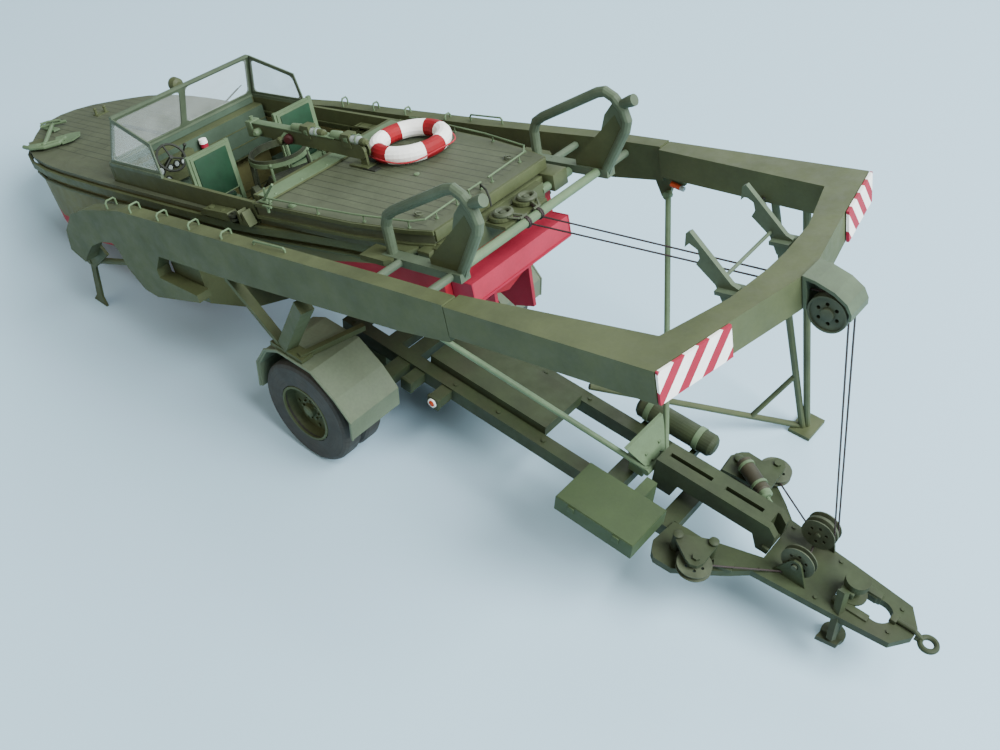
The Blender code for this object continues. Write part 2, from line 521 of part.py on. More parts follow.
# Drawbar: lower plate, upper plates on spacers over the side sheaves, and two rope brackets.
NEAR_PULLEY = (-17.3, -5.3, 30.0)
FAR_PULLEY = (-17.1, 7.4, 33.0)
near_bracket = [(-24, 22), (-11.5, 22), (-15.4, 31.2), (-16.4, 32.2), (-18.2, 32.2), (-19.2, 31.2)]
far_bracket = [(-18.9, 22), (-11, 22), (-14.6, 34.2), (-15.8, 35.4), (-18.2, 35.4), (-18.9, 34.2)]
plate = [(-57.8, 23.9), (-55.8, 27.8), (-53.8, 29.5), (-47.3, 29.2), (-37.2, 21.4), (-32.9, 17.9), (-28, 13.2),
         (-3.5, 10.8), (16.4, 8.5), (21, 1.9)]
inner_edge = [(-52.2, -12.6), (-46.6, -12.6), (-27.6, -6.2), (-27.6, 6.2), (-46.6, 12.6), (-52.2, 12.6)]
outline = plate + [(x, -y) for x, y in reversed(plate)] + [(-56.8, -13.2)] + inner_edge + [(-56.8, 13.2)]
near_wing = [(-52.2, -21.4), (-50.6, -23.6), (-44.2, -27.8), (-42.2, -28.6), (-40.2, -27.8), (-39.2, -25.6),
             (-39.6, -16.4), (-41.2, -15.4)]
far_wing = [(-54.9, 11.0), (-55.1, 20.4), (-52.6, 22.9), (-46.2, 23.6), (-43.6, 28.0), (-41.0, 28.4), (-39.2, 26.0),
            (-38.6, 17.0), (-38.2, 12.6), (-44.5, 12.0)]
drawbar = [prism(outline, "z", 20.6, 23.2), prism(near_wing, "z", 28.3, 29.5), prism(far_wing, "z", 28.3, 29.5),
           prism(near_bracket, "y", -8.2, -7.3), prism(far_bracket, "y", 10.4, 11.3)]
for x, y in ((-51.0, -21.8), (-40.9, -16.8), (-52.6, 18.4), (-40.0, 14.4)):
    drawbar.append(rod((x, y, 22), (x, y, 30.2), 1.5, 14))
for s in (-1, 1):
    drawbar.append(rod((-42.0, s * 25.4, 22), (-42.0, s * 25.4, 29), 0.8, 10))
part("drawbar", drawbar, OLIVE, holder=CHASSIS,
     cuts=[rod((NEAR_PULLEY[0], -9, NEAR_PULLEY[2]), (NEAR_PULLEY[0], -7, NEAR_PULLEY[2]), 1.2, 16),
           rod((FAR_PULLEY[0], 10, FAR_PULLEY[2]), (FAR_PULLEY[0], 12, FAR_PULLEY[2]), 1.2, 16),
           box(-4, 8, -3.6, 3.6, 15, 30), turned([(-10, 4.4), (10, 4.4)], (9, 0, 24), (0, 0, 1), 28),
           rod((-18.6, -6.3, 23.98), (-22.4, -9.3, 24.3), 0.7, 8)])
part("towing_eye", [hoop((25.6, 0, 22.0), (0, 0, 1), 2.5, 0.9, 28, 10), rod((21.3, 0, 22.0), (23.4, 0, 22.0), 1.1, 12)],
     OLIVE, holder=CHASSIS)
jack_head = [(23.5, 1.4), (23.5, 4.6), (24.2, 4.6), (24.2, 2.2), (28.6, 2.2), (28.6, 3.85), (31, 3.85), (31, 2)]
part("jack", [turned(jack_head, (0, 0, 0), (0, 0, 1), 28), rod((0, 0, 0.6), (0, 0, 30), 1.6, 16),
              turned([(0.3, 4), (1.8, 4)], (0, 0, 0), (0, 0, 1), 28)], OLIVE, holder=CHASSIS)
disc, holes = sheave(SINGLE, NEAR_PULLEY, (0, 1, 0))
near_pin = rod((NEAR_PULLEY[0], -8.9, NEAR_PULLEY[2]), (NEAR_PULLEY[0], -3.6, NEAR_PULLEY[2]), 0.9, 14)
part("near_drawbar_sheave", [disc, near_pin], GREY, holder=CHASSIS, cuts=holes)
disc, holes = sheave(DOUBLE, FAR_PULLEY, (0, 1, 0))
far_pin = rod((FAR_PULLEY[0], 4.3, FAR_PULLEY[2]), (FAR_PULLEY[0], 12.0, FAR_PULLEY[2]), 0.9, 14)
part("far_drawbar_sheave", [disc, far_pin], GREY, holder=CHASSIS, cuts=holes)
disc, holes = sheave(SINGLE, (-42.0, -25.4, 25.8), (0, 0, 1))
pair("side_sheave", [disc], GREY, holder=CHASSIS, cuts=holes + [rod((-42.0, -25.4, 20), (-42.0, -25.4, 32), 1.2, 14)])
part("toolbox", [box(-86.2, -56.9, -39.8, -21.1, 30.3, 36.3), box(-70, -66, -21.3, -12, 22.8, 34)], OLIVE,
     holder=CHASSIS)
part("air_tank", [turned([(0, 2.0), (0.5, 3.2), (1.6, 4.1), (30, 4.1), (31.1, 3.2), (31.6, 2.0)], (-94, 20.8, 26),
                         (1, 0, 0), 24)], OLIVE, holder=CHASSIS)

# Sloping carriage plate that holds the lower ends of the two push rods.
KNOB = (-73.2, 5.3, 29.0)
FAR_TOP = between(BOAT, CHASSIS, (30.4, 52.6, -20.4))
rod_ends = [((-163.2, -47.5, 83.6), (KNOB[0], -KNOB[1], KNOB[2])), (FAR_TOP, KNOB)]
push_rods = [rod(p, q, 1.0, 12) for p, q in rod_ends]
push_rods += [rod((KNOB[0], -KNOB[1] - 1.6, KNOB[2]), (KNOB[0], KNOB[1] + 1.6, KNOB[2]), 1.3, 14),
              rod(FAR_TOP + Vector((0, -1.4, 0)), FAR_TOP + Vector((0, 0.7, 0)), 1.5, 12)]
part("push_rods", push_rods, LIGHT, holder=CHASSIS)
ways = [rod(p, q, 1.4, 12) for p, q in rod_ends]
ways.append(rod((KNOB[0], -9, KNOB[2]), (KNOB[0], 9, KNOB[2]), 1.7, 14))
slope = [(-10.6, 38.6), (10.6, 38.6), (5.4, 29.4), (2.4, 31.4), (1.0, 29.4), (-1.0, 29.4), (-2.4, 31.4), (-5.4, 29.4)]
tilted = [[(-80.9 + (38.6 - z) * 0.76 + t, y, z) for y, z in slope] for t in (0, 1.2)]
part("carriage", [loft(tilted), box(-81, -75.4, -4.4, -3.2, 22.8, 34), box(-81, -75.4, 3.2, 4.4, 22.8, 34),
                  box(-81, -75.4, -4.4, 4.4, 22.8, 24.2)], LIGHT, holder=CHASSIS, cuts=ways)
part("support_leg", [rod((136.4, 77.6, 0.8), (117.6, 49.5, 111.2), 1.3, 10),
                     rod((137.4, 79.4, 0.8), (127.7, 50.5, 113.5), 1.3, 10),
                     rod((136.6, 78.0, 1.4), (76.6, 17.6, 29.4), 1.2, 10),
                     rod((121.2, 62.4, 8.6), (131.3, 70.0, 30.6), 1.0, 10),
                     box(132.8, 141.6, 73, 86, 0, 1.5)], OLIVE)

# The two taut rope runs: cross tube, hole in the apex, apex sheave, double drawbar sheave, side sheave.
ROPE = 0.3


def arc(centre, radius, start, end, steps, place):
    out = []
    for k in range(steps + 1):
        t = math.radians(start + (end - start) * k / steps)
        out.append(place(centre[0] + radius * math.cos(t), centre[1] + radius * math.sin(t)))
    return out


def rope(s):
    y = s * LINE_Y
    py = FAR_PULLEY[1] + s * 1.3
    route = [between(BOAT, CHASSIS, (17.95, s * 2.6, -6.6)), between(BOAT, CHASSIS, (99, y, LINE_W + 0.2))]
    route += arc((SHEAVE_U, SHEAVE_W), ROPE_R, 90, 12, 8, lambda u, w: between(BOAT, CHASSIS, (u, y, w)))
    route += arc((FAR_PULLEY[0], FAR_PULLEY[2]), ROPE_R, 8, -68, 7, lambda x, z: Vector((x, py, z)))
    route.append(Vector((FAR_PULLEY[0] - 0.2, py, FAR_PULLEY[2] - 6.3)))
    if s < 0:
        route += [Vector(p) for p in ((-16.6, 2.4, 24.3), (-17.0, -3.5, 23.85), (-17.4, -5.3, 23.85))]
    route.append(Vector((-38.6, s * 22.4, 25.8)))
    return route


part("rope_left", [pipe(rope(-1), ROPE, 6)], BLACK, 0.8, holder=CHASSIS)
part("rope_right", [pipe(rope(1), ROPE, 6)], BLACK, 0.8, holder=CHASSIS)

bpy.context.view_layer.update()
solids = [o for o in bpy.data.objects if o.type == "MESH"]
corners = [o.matrix_world @ v.co for o in solids for v in o.data.vertices]
lowest = [min(c[i] for c in corners) for i in range(3)]
highest = [max(c[i] for c in corners) for i in range(3)]
WORLD.location = (-(lowest[0] + highest[0]) / 2, -(lowest[1] + highest[1]) / 2, -lowest[2])
bpy.context.view_layer.update()
print("pieces", len(solids), "placed by", [round(c, 5) for c in WORLD.location])
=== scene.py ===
import math

import bmesh
import bpy
from mathutils import Matrix, Vector


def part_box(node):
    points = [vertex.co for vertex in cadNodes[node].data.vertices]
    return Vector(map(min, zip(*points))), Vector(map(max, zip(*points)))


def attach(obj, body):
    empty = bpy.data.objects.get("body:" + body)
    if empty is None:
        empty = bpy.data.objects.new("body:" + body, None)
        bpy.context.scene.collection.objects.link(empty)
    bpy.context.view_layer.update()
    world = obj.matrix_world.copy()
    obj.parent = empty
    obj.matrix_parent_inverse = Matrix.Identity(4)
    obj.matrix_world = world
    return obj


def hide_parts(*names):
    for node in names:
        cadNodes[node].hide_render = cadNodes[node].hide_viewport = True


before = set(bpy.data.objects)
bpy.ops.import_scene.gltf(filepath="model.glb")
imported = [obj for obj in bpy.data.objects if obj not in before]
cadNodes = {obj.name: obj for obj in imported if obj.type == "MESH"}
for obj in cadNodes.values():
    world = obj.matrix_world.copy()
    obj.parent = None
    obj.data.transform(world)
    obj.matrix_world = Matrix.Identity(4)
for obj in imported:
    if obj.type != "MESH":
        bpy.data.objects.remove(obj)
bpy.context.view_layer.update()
scene = bpy.context.scene
print("frame loaded")

# Pieces are drawn in millimetres, in the ground, boat, mast and chassis frames of the CAD model.
mm = 0.001
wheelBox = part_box("wheels_left")
wheelCentre = (Vector(wheelBox[0]) + Vector(wheelBox[1])) / 2
groundPlace = Matrix.Translation(wheelCentre - Vector((1.6, -43.4, 21.05)) * mm) @ Matrix.Scale(mm, 4)
boatPlace = groundPlace @ Matrix.Translation((44.4, 0, 107.4)) @ Matrix.Rotation(math.radians(-13.4), 4, "Y")
mastPlace = boatPlace @ Matrix.Translation((-58, 0, 6))
chassisPlace = groundPlace @ Matrix.Translation((188.6, 0, 0)) @ Matrix.Rotation(math.radians(3), 4, "Y")
lifebuoyPlace = boatPlace @ Matrix.Translation((-51, 16.2, 3.5))


# Mesh helpers.
def pointAt(axis, point, level):
    a, b = point
    return Vector({"x": (level, a, b), "y": (a, level, b), "z": (a, b, level)}[axis])


def onCircle(radius, turn):
    return radius * math.cos(turn), radius * math.sin(turn)


def rod(bm, start, end, radius, sides=12, endRadius=None):
    start, end = Vector(start), Vector(end)
    run = end - start
    turn = run.to_track_quat("Z", "Y").to_matrix().to_4x4()
    bmesh.ops.create_cone(bm, cap_ends=True, segments=sides, radius1=radius, depth=run.length,
                          radius2=radius if endRadius is None else endRadius,
                          matrix=Matrix.Translation((start + end) / 2) @ turn)


def slab(bm, low, high, soft=0.0):
    # A box between two corners, with softened edges where asked.
    low, high = Vector(low), Vector(high)
    place = Matrix.Translation((low + high) / 2) @ Matrix.Diagonal((*(high - low), 1))
    verts = bmesh.ops.create_cube(bm, size=1, matrix=place)["verts"]
    if soft:
        edges = list({e for v in verts for e in v.link_edges})
        bmesh.ops.bevel(bm, geom=edges, offset=soft, segments=2, affect="EDGES", profile=0.5, material=-1)


def bead(bm, centre, radius, squash=(1, 1, 1)):
    place = Matrix.Translation(centre) @ Matrix.Diagonal((*squash, 1))
    bmesh.ops.create_uvsphere(bm, u_segments=14, v_segments=10, radius=radius, matrix=place)


def bentRod(bm, points, radius, sides=8):
    # A round bar along straight runs: the end face is pushed on to each mitre plane in turn.
    points = [Vector(p) for p in points]
    first = (points[1] - points[0]).normalized()
    turn = first.to_track_quat("Z", "Y").to_matrix().to_4x4()
    ring = bmesh.ops.create_circle(bm, cap_ends=True, segments=sides, radius=radius,
                                   matrix=Matrix.Translation(points[0]) @ turn)
    face = ring["verts"][0].link_faces[0]
    for i in range(1, len(points)):
        run = (points[i] - points[i - 1]).normalized()
        after = (points[i + 1] - points[i]).normalized() if i + 1 < len(points) else run
        flat = (run + after).normalized()
        made = bmesh.ops.extrude_face_region(bm, geom=[face])["geom"]
        face = [g for g in made if isinstance(g, bmesh.types.BMFace)][0]
        for vert in face.verts:
            vert.co += run * (points[i] - vert.co).dot(flat) / run.dot(flat)


def spun(bm, profile, centre, axis, steps):
    # Turns a profile of (distance along the axis, radius) round the axis; it may start and end on the axis.
    axis = Vector(axis).normalized()
    turn = axis.to_track_quat("Z", "Y").to_matrix()
    verts = [bm.verts.new(Vector(centre) + turn @ Vector((r, 0, d))) for d, r in profile]
    loop = zip(verts, verts[1:] + verts[:1]) if profile[0][1] > 0 else zip(verts, verts[1:])
    edges = [bm.edges.new(pair) for pair in loop]
    bmesh.ops.spin(bm, geom=verts + edges, cent=Vector(centre), axis=axis, dvec=(0, 0, 0),
                   angle=2 * math.pi, steps=steps, use_merge=True)


def turned(bm, outer, centre, axis, steps):
    # A solid turned piece: its outer profile is closed on the axis at both ends.
    spun(bm, [(outer[0][0], 0), *outer, (outer[-1][0], 0)], centre, axis, steps)


def ring(bm, centre, axis, radius, thick, steps, sides):
    profile = [(thick * math.sin(2 * math.pi * k / sides), radius + thick * math.cos(2 * math.pi * k / sides))
               for k in range(sides)]
    spun(bm, profile, centre, axis, steps)


def plate(bm, outline, axis, low, high):
    face = bm.faces.new([bm.verts.new(pointAt(axis, p, low)) for p in outline])
    made = bmesh.ops.extrude_face_region(bm, geom=[face])["geom"]
    lifted = [g for g in made if isinstance(g, bmesh.types.BMVert)]
    bmesh.ops.translate(bm, verts=lifted, vec=pointAt(axis, (0, 0), high - low))


def frameOf(bm, corners, width, thick, roundness):
    # A flat card frame round a window with rounded corners.
    others = set(bm.faces)
    face = bm.faces.new([bm.verts.new(c) for c in corners])
    face.normal_update()
    normal = face.normal.copy()
    bmesh.ops.inset_region(bm, faces=[face], thickness=width, use_even_offset=True, use_boundary=True)
    bmesh.ops.bevel(bm, geom=list(face.verts), offset=roundness, segments=3, affect="VERTICES", profile=0.5,
                    material=-1)
    window = max((f for f in bm.faces if f not in others), key=lambda f: len(f.verts))
    bmesh.ops.delete(bm, geom=[window], context="FACES_ONLY")
    rim = [f for f in bm.faces if f not in others]
    made = bmesh.ops.extrude_face_region(bm, geom=rim)["geom"]
    lifted = [g for g in made if isinstance(g, bmesh.types.BMVert)]
    bmesh.ops.translate(bm, verts=lifted, vec=normal * thick)


def finishPiece(name, bm, place, material, body="model"):
    bmesh.ops.remove_doubles(bm, verts=bm.verts, dist=0.001)
    bmesh.ops.recalc_face_normals(bm, faces=bm.faces)
    bm.transform(place)
    mesh = bpy.data.meshes.new(name)
    bm.to_mesh(mesh)
    bm.free()
    mesh.shade_smooth()
    mesh.set_sharp_from_angle(angle=math.radians(32))
    mesh.materials.append(material)
    piece = bpy.data.objects.new(name, mesh)
    scene.collection.objects.link(piece)
    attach(piece, body)
    return piece


# Material helpers.
def feed(tree, socket, value):
    if isinstance(value, bpy.types.NodeSocket):
        tree.links.new(value, socket)
    else:
        socket.default_value = value


def linked(tree, kind, settings=None, **inputs):
    # A new node; s0, s1 and so on are its inputs by number, the others by name.
    node = tree.nodes.new(kind)
    for key, value in (settings or {}).items():
        setattr(node, key, value)
    for key, value in inputs.items():
        feed(tree, node.inputs[int(key[1:]) if key[1:].isdigit() else key], value)
    return node


def math2(tree, kind, a, b=0.0):
    return linked(tree, "ShaderNodeMath", {"operation": kind}, s0=a, s1=b).outputs[0]


def below(tree, value, limit):
    return math2(tree, "LESS_THAN", value, limit)


def above(tree, value, limit):
    return math2(tree, "GREATER_THAN", value, limit)


def times(tree, first, *others):
    for other in others:
        first = math2(tree, "MULTIPLY", first, other)
    return first


def noise(tree, coords, scale, detail):
    return linked(tree, "ShaderNodeTexNoise", Vector=coords, Scale=scale, Detail=detail).outputs[0]


def objectCoords(tree):
    return tree.nodes.new("ShaderNodeTexCoord").outputs["Object"]


def remap(tree, value, low, high, outLow=0.0, outHigh=1.0):
    node = linked(tree, "ShaderNodeMapRange", {"clamp": True}, s0=value, s1=low, s2=high, s3=outLow, s4=outHigh)
    return node.outputs[0]


def mixColour(tree, mask, a, b, blend="MIX"):
    node = tree.nodes.new("ShaderNodeMix")
    node.data_type = "RGBA"
    node.blend_type = blend
    for i, value in ((0, mask), (6, a), (7, b)):
        feed(tree, node.inputs[i], value)
    return node.outputs[2]


def placedCoords(tree, place):
    # Object coordinates seen from a frame of the model, in millimetres.
    back = place.inverted()
    node = linked(tree, "ShaderNodeMapping", {"vector_type": "POINT"}, Vector=objectCoords(tree),
                  Location=back.translation, Rotation=back.to_euler(), Scale=back.to_scale())
    return node.outputs[0]


def splitCoords(tree, place):
    return linked(tree, "ShaderNodeSeparateXYZ", Vector=placedCoords(tree, place)).outputs


def colour(rgb):
    return (*rgb, 1.0)


def newGroup(name, inputs, outputs):
    group = bpy.data.node_groups.new(name, "ShaderNodeTree")
    for key, kind in inputs:
        group.interface.new_socket(key, in_out="INPUT", socket_type=kind)
    for key, kind in outputs:
        group.interface.new_socket(key, in_out="OUTPUT", socket_type=kind)
    return group, group.nodes.new("NodeGroupInput").outputs, group.nodes.new("NodeGroupOutput").inputs


def makeCardTone():
    # Airbrushed print on matte card: soft patches, fine paper grain and faint rubbing.
    group, given, result = newGroup(
        "cardTone",
        [("Base", "NodeSocketColor"), ("Shade", "NodeSocketColor"), ("Patch", "NodeSocketFloat"),
         ("Grain", "NodeSocketFloat")],
        [("Color", "NodeSocketColor"), ("Height", "NodeSocketFloat"), ("Rough", "NodeSocketFloat")])
    values = {"fibre": 950.0, "speck": 260.0}
    coords = objectCoords(group)
    patch = noise(group, coords, given["Patch"], 3.0)
    fibre = noise(group, coords, values["fibre"], 2.0)
    speck = noise(group, coords, values["speck"], 4.0)
    toned = mixColour(group, remap(group, patch, 0.36, 0.66), given["Base"], given["Shade"])
    light = math2(group, "MULTIPLY", remap(group, fibre, 0.3, 0.7, -1.0, 1.0), given["Grain"])
    light = math2(group, "ADD", light, remap(group, speck, 0.35, 0.7, 0.96, 1.05))
    bright = linked(group, "ShaderNodeCombineXYZ", X=light, Y=light, Z=light).outputs[0]
    group.links.new(mixColour(group, 1.0, toned, bright, "MULTIPLY"), result["Color"])
    group.links.new(math2(group, "ADD", fibre, speck), result["Height"])
    group.links.new(remap(group, speck, 0.3, 0.7, 0.58, 0.74), result["Rough"])
    return group


cardTone = makeCardTone()


def startMaterial(name):
    mat = bpy.data.materials.new(name)
    mat.use_nodes = True
    tree = mat.node_tree
    return mat, tree, tree.nodes["Principled BSDF"].inputs


def toneNode(tree, base, shade, patch, grain=0.05):
    node = tree.nodes.new("ShaderNodeGroup")
    node.node_tree = cardTone
    for key, value in (("Base", base), ("Shade", shade), ("Patch", patch), ("Grain", grain)):
        feed(tree, node.inputs[key], value)
    return node.outputs


def closeCard(mat, tree, shader, tone, finalColour=None):
    values = {"bump": 0.12, "deep": 0.00012, "gloss": 0.35}
    tree.links.new(finalColour or tone["Color"], shader["Base Color"])
    tree.links.new(tone["Rough"], shader["Roughness"])
    raised = linked(tree, "ShaderNodeBump", Strength=values["bump"], Distance=values["deep"], Height=tone["Height"])
    tree.links.new(raised.outputs[0], shader["Normal"])
    shader["Specular IOR Level"].default_value = values["gloss"]
    return mat


def cardMaterial(name, base, shade, patch=70.0):
    mat, tree, shader = startMaterial(name)
    return closeCard(mat, tree, shader, toneNode(tree, colour(base), colour(shade), patch))


# Each colour has its plain tone and the shade of its airbrushed patches.
palette = {
    # guard: the olive lightened into a lit copy for the mudguards, painted light.
    "guard": ((0.122, 0.153, 0.099), (0.103, 0.129, 0.080)),
    "boxGreen": ((0.040, 0.064, 0.024), (0.032, 0.052, 0.020)),
    # The next, darker olive is painted shade on the drawbar and chassis; the one after it is their browner
    # weathering.
    "shadedOlive": ((0.032, 0.046, 0.018), (0.024, 0.034, 0.014)),
    "wornPatch": ((0.030, 0.030, 0.015), (0.022, 0.022, 0.011)),
    "olive": ((0.068, 0.083, 0.035), (0.051, 0.063, 0.026)),
    "deckOlive": ((0.075, 0.089, 0.052), (0.060, 0.071, 0.042)),
    "seatGreen": ((0.008, 0.048, 0.020), (0.006, 0.037, 0.015)),
    "seatFoot": ((0.004, 0.017, 0.007), (0.003, 0.012, 0.005)),
    "sage": ((0.107, 0.162, 0.087), (0.084, 0.128, 0.068)),
    "frameSage": ((0.086, 0.118, 0.074), (0.064, 0.088, 0.054)),
    "tealSage": ((0.052, 0.085, 0.057), (0.036, 0.059, 0.037)),
    "dark": ((0.021, 0.024, 0.017), (0.014, 0.016, 0.012)),
    "machine": ((0.038, 0.047, 0.024), (0.020, 0.024, 0.014)),
    "hullRed": ((0.296, 0.007, 0.019), (0.237, 0.005, 0.014)),
    "hullOlive": ((0.118, 0.117, 0.046), (0.092, 0.092, 0.035)),
    "sillRed": ((0.350, 0.020, 0.046), (0.274, 0.012, 0.030)),
    "stripeRed": ((0.326, 0.011, 0.036), (0.274, 0.008, 0.029)),
    "buoyRed": ((0.281, 0.004, 0.010), (0.226, 0.002, 0.007)),
    "white": ((0.950, 0.950, 0.920), (0.900, 0.900, 0.870)),
    "tyre": ((0.044, 0.040, 0.033), (0.030, 0.028, 0.023)),
    "sheave": ((0.064, 0.077, 0.045), (0.042, 0.052, 0.030)),
    "amber": ((0.496, 0.060, 0.012), (0.360, 0.036, 0.009)),
    "lampRed": ((0.034, 0.002, 0.002), (0.022, 0.001, 0.001)),
    "brownShade": ((0.045, 0.041, 0.024), (0.028, 0.026, 0.017)),
    "lens": ((0.357, 0.408, 0.391), (0.204, 0.255, 0.246)),
}
olive = cardMaterial("oliveCard", *palette["olive"])
sage = cardMaterial("paleSageCard", *palette["sage"])
# Mudguards take a lighter, lit copy of the olive card, painted light.
litGuardCard = cardMaterial("litMudguardCard", *palette["guard"], 60.0)
boxGreen = cardMaterial("toolboxCard", *palette["boxGreen"], 60.0)
dark = cardMaterial("darkCard", *palette["dark"])
machine = cardMaterial("machineCard", *palette["machine"], 160.0)
red = cardMaterial("redCard", *palette["stripeRed"])
sillRed = cardMaterial("sillCard", *palette["sillRed"], 50.0)
white = cardMaterial("whiteCard", *palette["white"])
sheaveCard = cardMaterial("sheaveCard", *palette["sheave"], 220.0)
amber = cardMaterial("amberCard", *palette["amber"])
brown = cardMaterial("brownCard", *palette["brownShade"], 120.0)
lens = cardMaterial("lensCard", *palette["lens"], 200.0)
frameSage = cardMaterial("frameSageCard", *palette["frameSage"])
tealSage = cardMaterial("tealSageCard", *palette["tealSage"], 60.0)
lampRed = cardMaterial("lampRedCard", *palette["lampRed"], 200.0)


def twoTones(tree, mask, first, second, patch, grain=0.05):
    # One palette colour where the mask is 0 and another where it is 1.
    base, shade = (mixColour(tree, mask, colour(a), colour(b)) for a, b in zip(palette[first], palette[second]))
    return toneNode(tree, base, shade, patch, grain)


def makeDeckCard():
    # Planks along the boat, with thin dark seams, a plain margin and butt joints, on the up faces only.
    values = {"plank": 3.7, "seam": 0.085, "margin": 28.5, "sternEdge": -4.0, "butt": 34.0, "buttGap": 0.010,
              "buttsAhead": -160.0, "stagger": 11.0, "upFacing": 0.8, "vary": 0.30, "line": 0.80,
              "board": (0.056, 0.062, 0.040), "gap": (0.014, 0.015, 0.011)}
    mat, tree, shader = startMaterial("plankedDeck")
    tone = toneNode(tree, *(colour(c) for c in palette["deckOlive"]), 60.0, 0.06)
    along, across = splitCoords(tree, boatPlace)[:2]
    row = math2(tree, "DIVIDE", math2(tree, "ADD", across, 100.0), values["plank"])
    number = math2(tree, "FLOOR", row)
    seam = below(tree, math2(tree, "FRACT", row), values["seam"])
    shift = times(tree, math2(tree, "MODULO", number, 3.0), values["stagger"])
    cell = math2(tree, "DIVIDE", math2(tree, "ADD", math2(tree, "ADD", along, 400.0), shift), values["butt"])
    butt = below(tree, math2(tree, "FRACT", cell), values["buttGap"])
    butt = times(tree, butt, below(tree, along, values["buttsAhead"]))
    inside = below(tree, math2(tree, "ABSOLUTE", across), values["margin"])
    ahead = below(tree, along, values["sternEdge"])
    facing = linked(tree, "ShaderNodeSeparateXYZ", Vector=tree.nodes.new("ShaderNodeNewGeometry").outputs["Normal"])
    upward = above(tree, facing.outputs[2], values["upFacing"])
    lines = times(tree, math2(tree, "MAXIMUM", seam, butt), inside, ahead, upward, values["line"])
    each = linked(tree, "ShaderNodeTexWhiteNoise", {"noise_dimensions": "1D"}, W=number).outputs[0]
    share = times(tree, each, values["vary"])
    varied = mixColour(tree, share, tone["Color"], colour(values["board"]))
    return closeCard(mat, tree, shader, tone, mixColour(tree, lines, varied, colour(values["gap"])))


def makeHullCard():
    # Olive topsides and cockpit well over red: the line climbs towards the stern.
    values = {"bow": (-250.0, -35.0), "mid": (-120.0, -27.0), "stern": (-10.0, -14.5), "transom": (-0.4, -12.0),
              "wellSide": 34.7, "wellFloor": -33.2, "wellAft": -78.9, "wellFore": -165.3}
    mat, tree, shader = startMaterial("hullCard")
    along, across, up = splitCoords(tree, boatPlace)
    first = remap(tree, along, values["bow"][0], values["mid"][0], values["bow"][1], values["mid"][1])
    rise = values["stern"][1] - values["mid"][1]
    second = remap(tree, along, values["mid"][0], values["stern"][0], 0.0, rise)
    under = below(tree, up, math2(tree, "ADD", first, second))
    transom = times(tree, above(tree, along, values["transom"][0]), below(tree, up, values["transom"][1]))
    inside = times(tree, below(tree, math2(tree, "ABSOLUTE", across), values["wellSide"]),
                   above(tree, up, values["wellFloor"]), below(tree, along, values["wellAft"]),
                   above(tree, along, values["wellFore"]))
    isRed = times(tree, math2(tree, "MAXIMUM", under, transom), math2(tree, "SUBTRACT", 1.0, inside))
    return closeCard(mat, tree, shader, twoTones(tree, isRed, "hullOlive", "hullRed", 55.0))


def makeTyreCard():
    # Grooved walls and a lugged tread round an olive rim.
    values = {"rim": 11.3, "tread": 19.6, "groove": 1.9, "grooveGap": 0.16, "lugs": 9.0, "lugGap": 0.22,
              "depth": 0.45, "mark": (0.024, 0.022, 0.018)}
    mat, tree, shader = startMaterial("tyreCard")
    sides = splitCoords(tree, Matrix.Translation(wheelCentre) @ Matrix.Scale(mm, 4))
    x, z = sides[0], sides[2]
    far = math2(tree, "SQRT", math2(tree, "ADD", times(tree, x, x), times(tree, z, z)))
    groove = math2(tree, "FRACT", math2(tree, "DIVIDE", far, values["groove"]))
    wall = times(tree, below(tree, groove, values["grooveGap"]), below(tree, far, values["tread"]))
    lug = math2(tree, "FRACT", times(tree, math2(tree, "ARCTAN2", z, x), values["lugs"]))
    tread = times(tree, below(tree, lug, values["lugGap"]), above(tree, far, values["tread"]))
    mark = times(tree, math2(tree, "MAXIMUM", tread, wall), values["depth"])
    tyre = mixColour(tree, mark, colour(palette["tyre"][0]), colour(values["mark"]))
    isRim = below(tree, far, values["rim"])
    base = mixColour(tree, isRim, tyre, colour(palette["olive"][0]))
    shade = mixColour(tree, isRim, colour(palette["tyre"][1]), colour(palette["olive"][1]))
    return closeCard(mat, tree, shader, toneNode(tree, base, shade, 120.0))


def makeLifebuoyCard():
    # Four red bands round the white ring, at these angles in degrees.
    values = {"bands": (-98.0, 170.0, 86.0, -6.0), "half": 17.0}
    mat, tree, shader = startMaterial("lifebuoyCard")
    place = placedCoords(tree, lifebuoyPlace)
    flat = linked(tree, "ShaderNodeVectorMath", {"operation": "MULTIPLY"}, s0=place, s1=(1, 1, 0)).outputs[0]
    aim = linked(tree, "ShaderNodeVectorMath", {"operation": "NORMALIZE"}, s0=flat).outputs[0]
    band = 0.0
    reach = math.cos(math.radians(values["half"]))
    for angle in values["bands"]:
        middle = (*onCircle(1, math.radians(angle)), 0)
        near = linked(tree, "ShaderNodeVectorMath", {"operation": "DOT_PRODUCT"}, s0=aim, s1=middle).outputs[1]
        band = math2(tree, "MAXIMUM", above(tree, near, reach), band)
    return closeCard(mat, tree, shader, twoTones(tree, band, "white", "buoyRed", 90.0, 0.03))


def makeStripeCard():
    # Red stripes that lean over the height of the plates, mirrored on the far one.
    values = {"step": 8.45, "width": 0.46, "lean": 0.85, "start": 98.6, "shift": 1.2}
    mat, tree, shader = startMaterial("stripedCard")
    across, up = splitCoords(tree, boatPlace)[1:]
    out = math2(tree, "SUBTRACT", values["start"], math2(tree, "ABSOLUTE", across))
    run = math2(tree, "SUBTRACT", out, times(tree, up, values["lean"]))
    cell = math2(tree, "FRACT", math2(tree, "DIVIDE", math2(tree, "ADD", run, values["shift"]), values["step"]))
    stripe = below(tree, cell, values["width"])
    return closeCard(mat, tree, shader, twoTones(tree, stripe, "white", "stripeRed", 90.0, 0.03))


def makePanelGreen():
    # Padded green of the seat panels, darker towards the foot.
    values = {"foot": -26.0, "head": 6.0}
    mat, tree, shader = startMaterial("seatPanelCard")
    fade = remap(tree, splitCoords(tree, boatPlace)[2], values["foot"], values["head"])
    return closeCard(mat, tree, shader, twoTones(tree, fade, "seatFoot", "seatGreen", 140.0, 0.04))


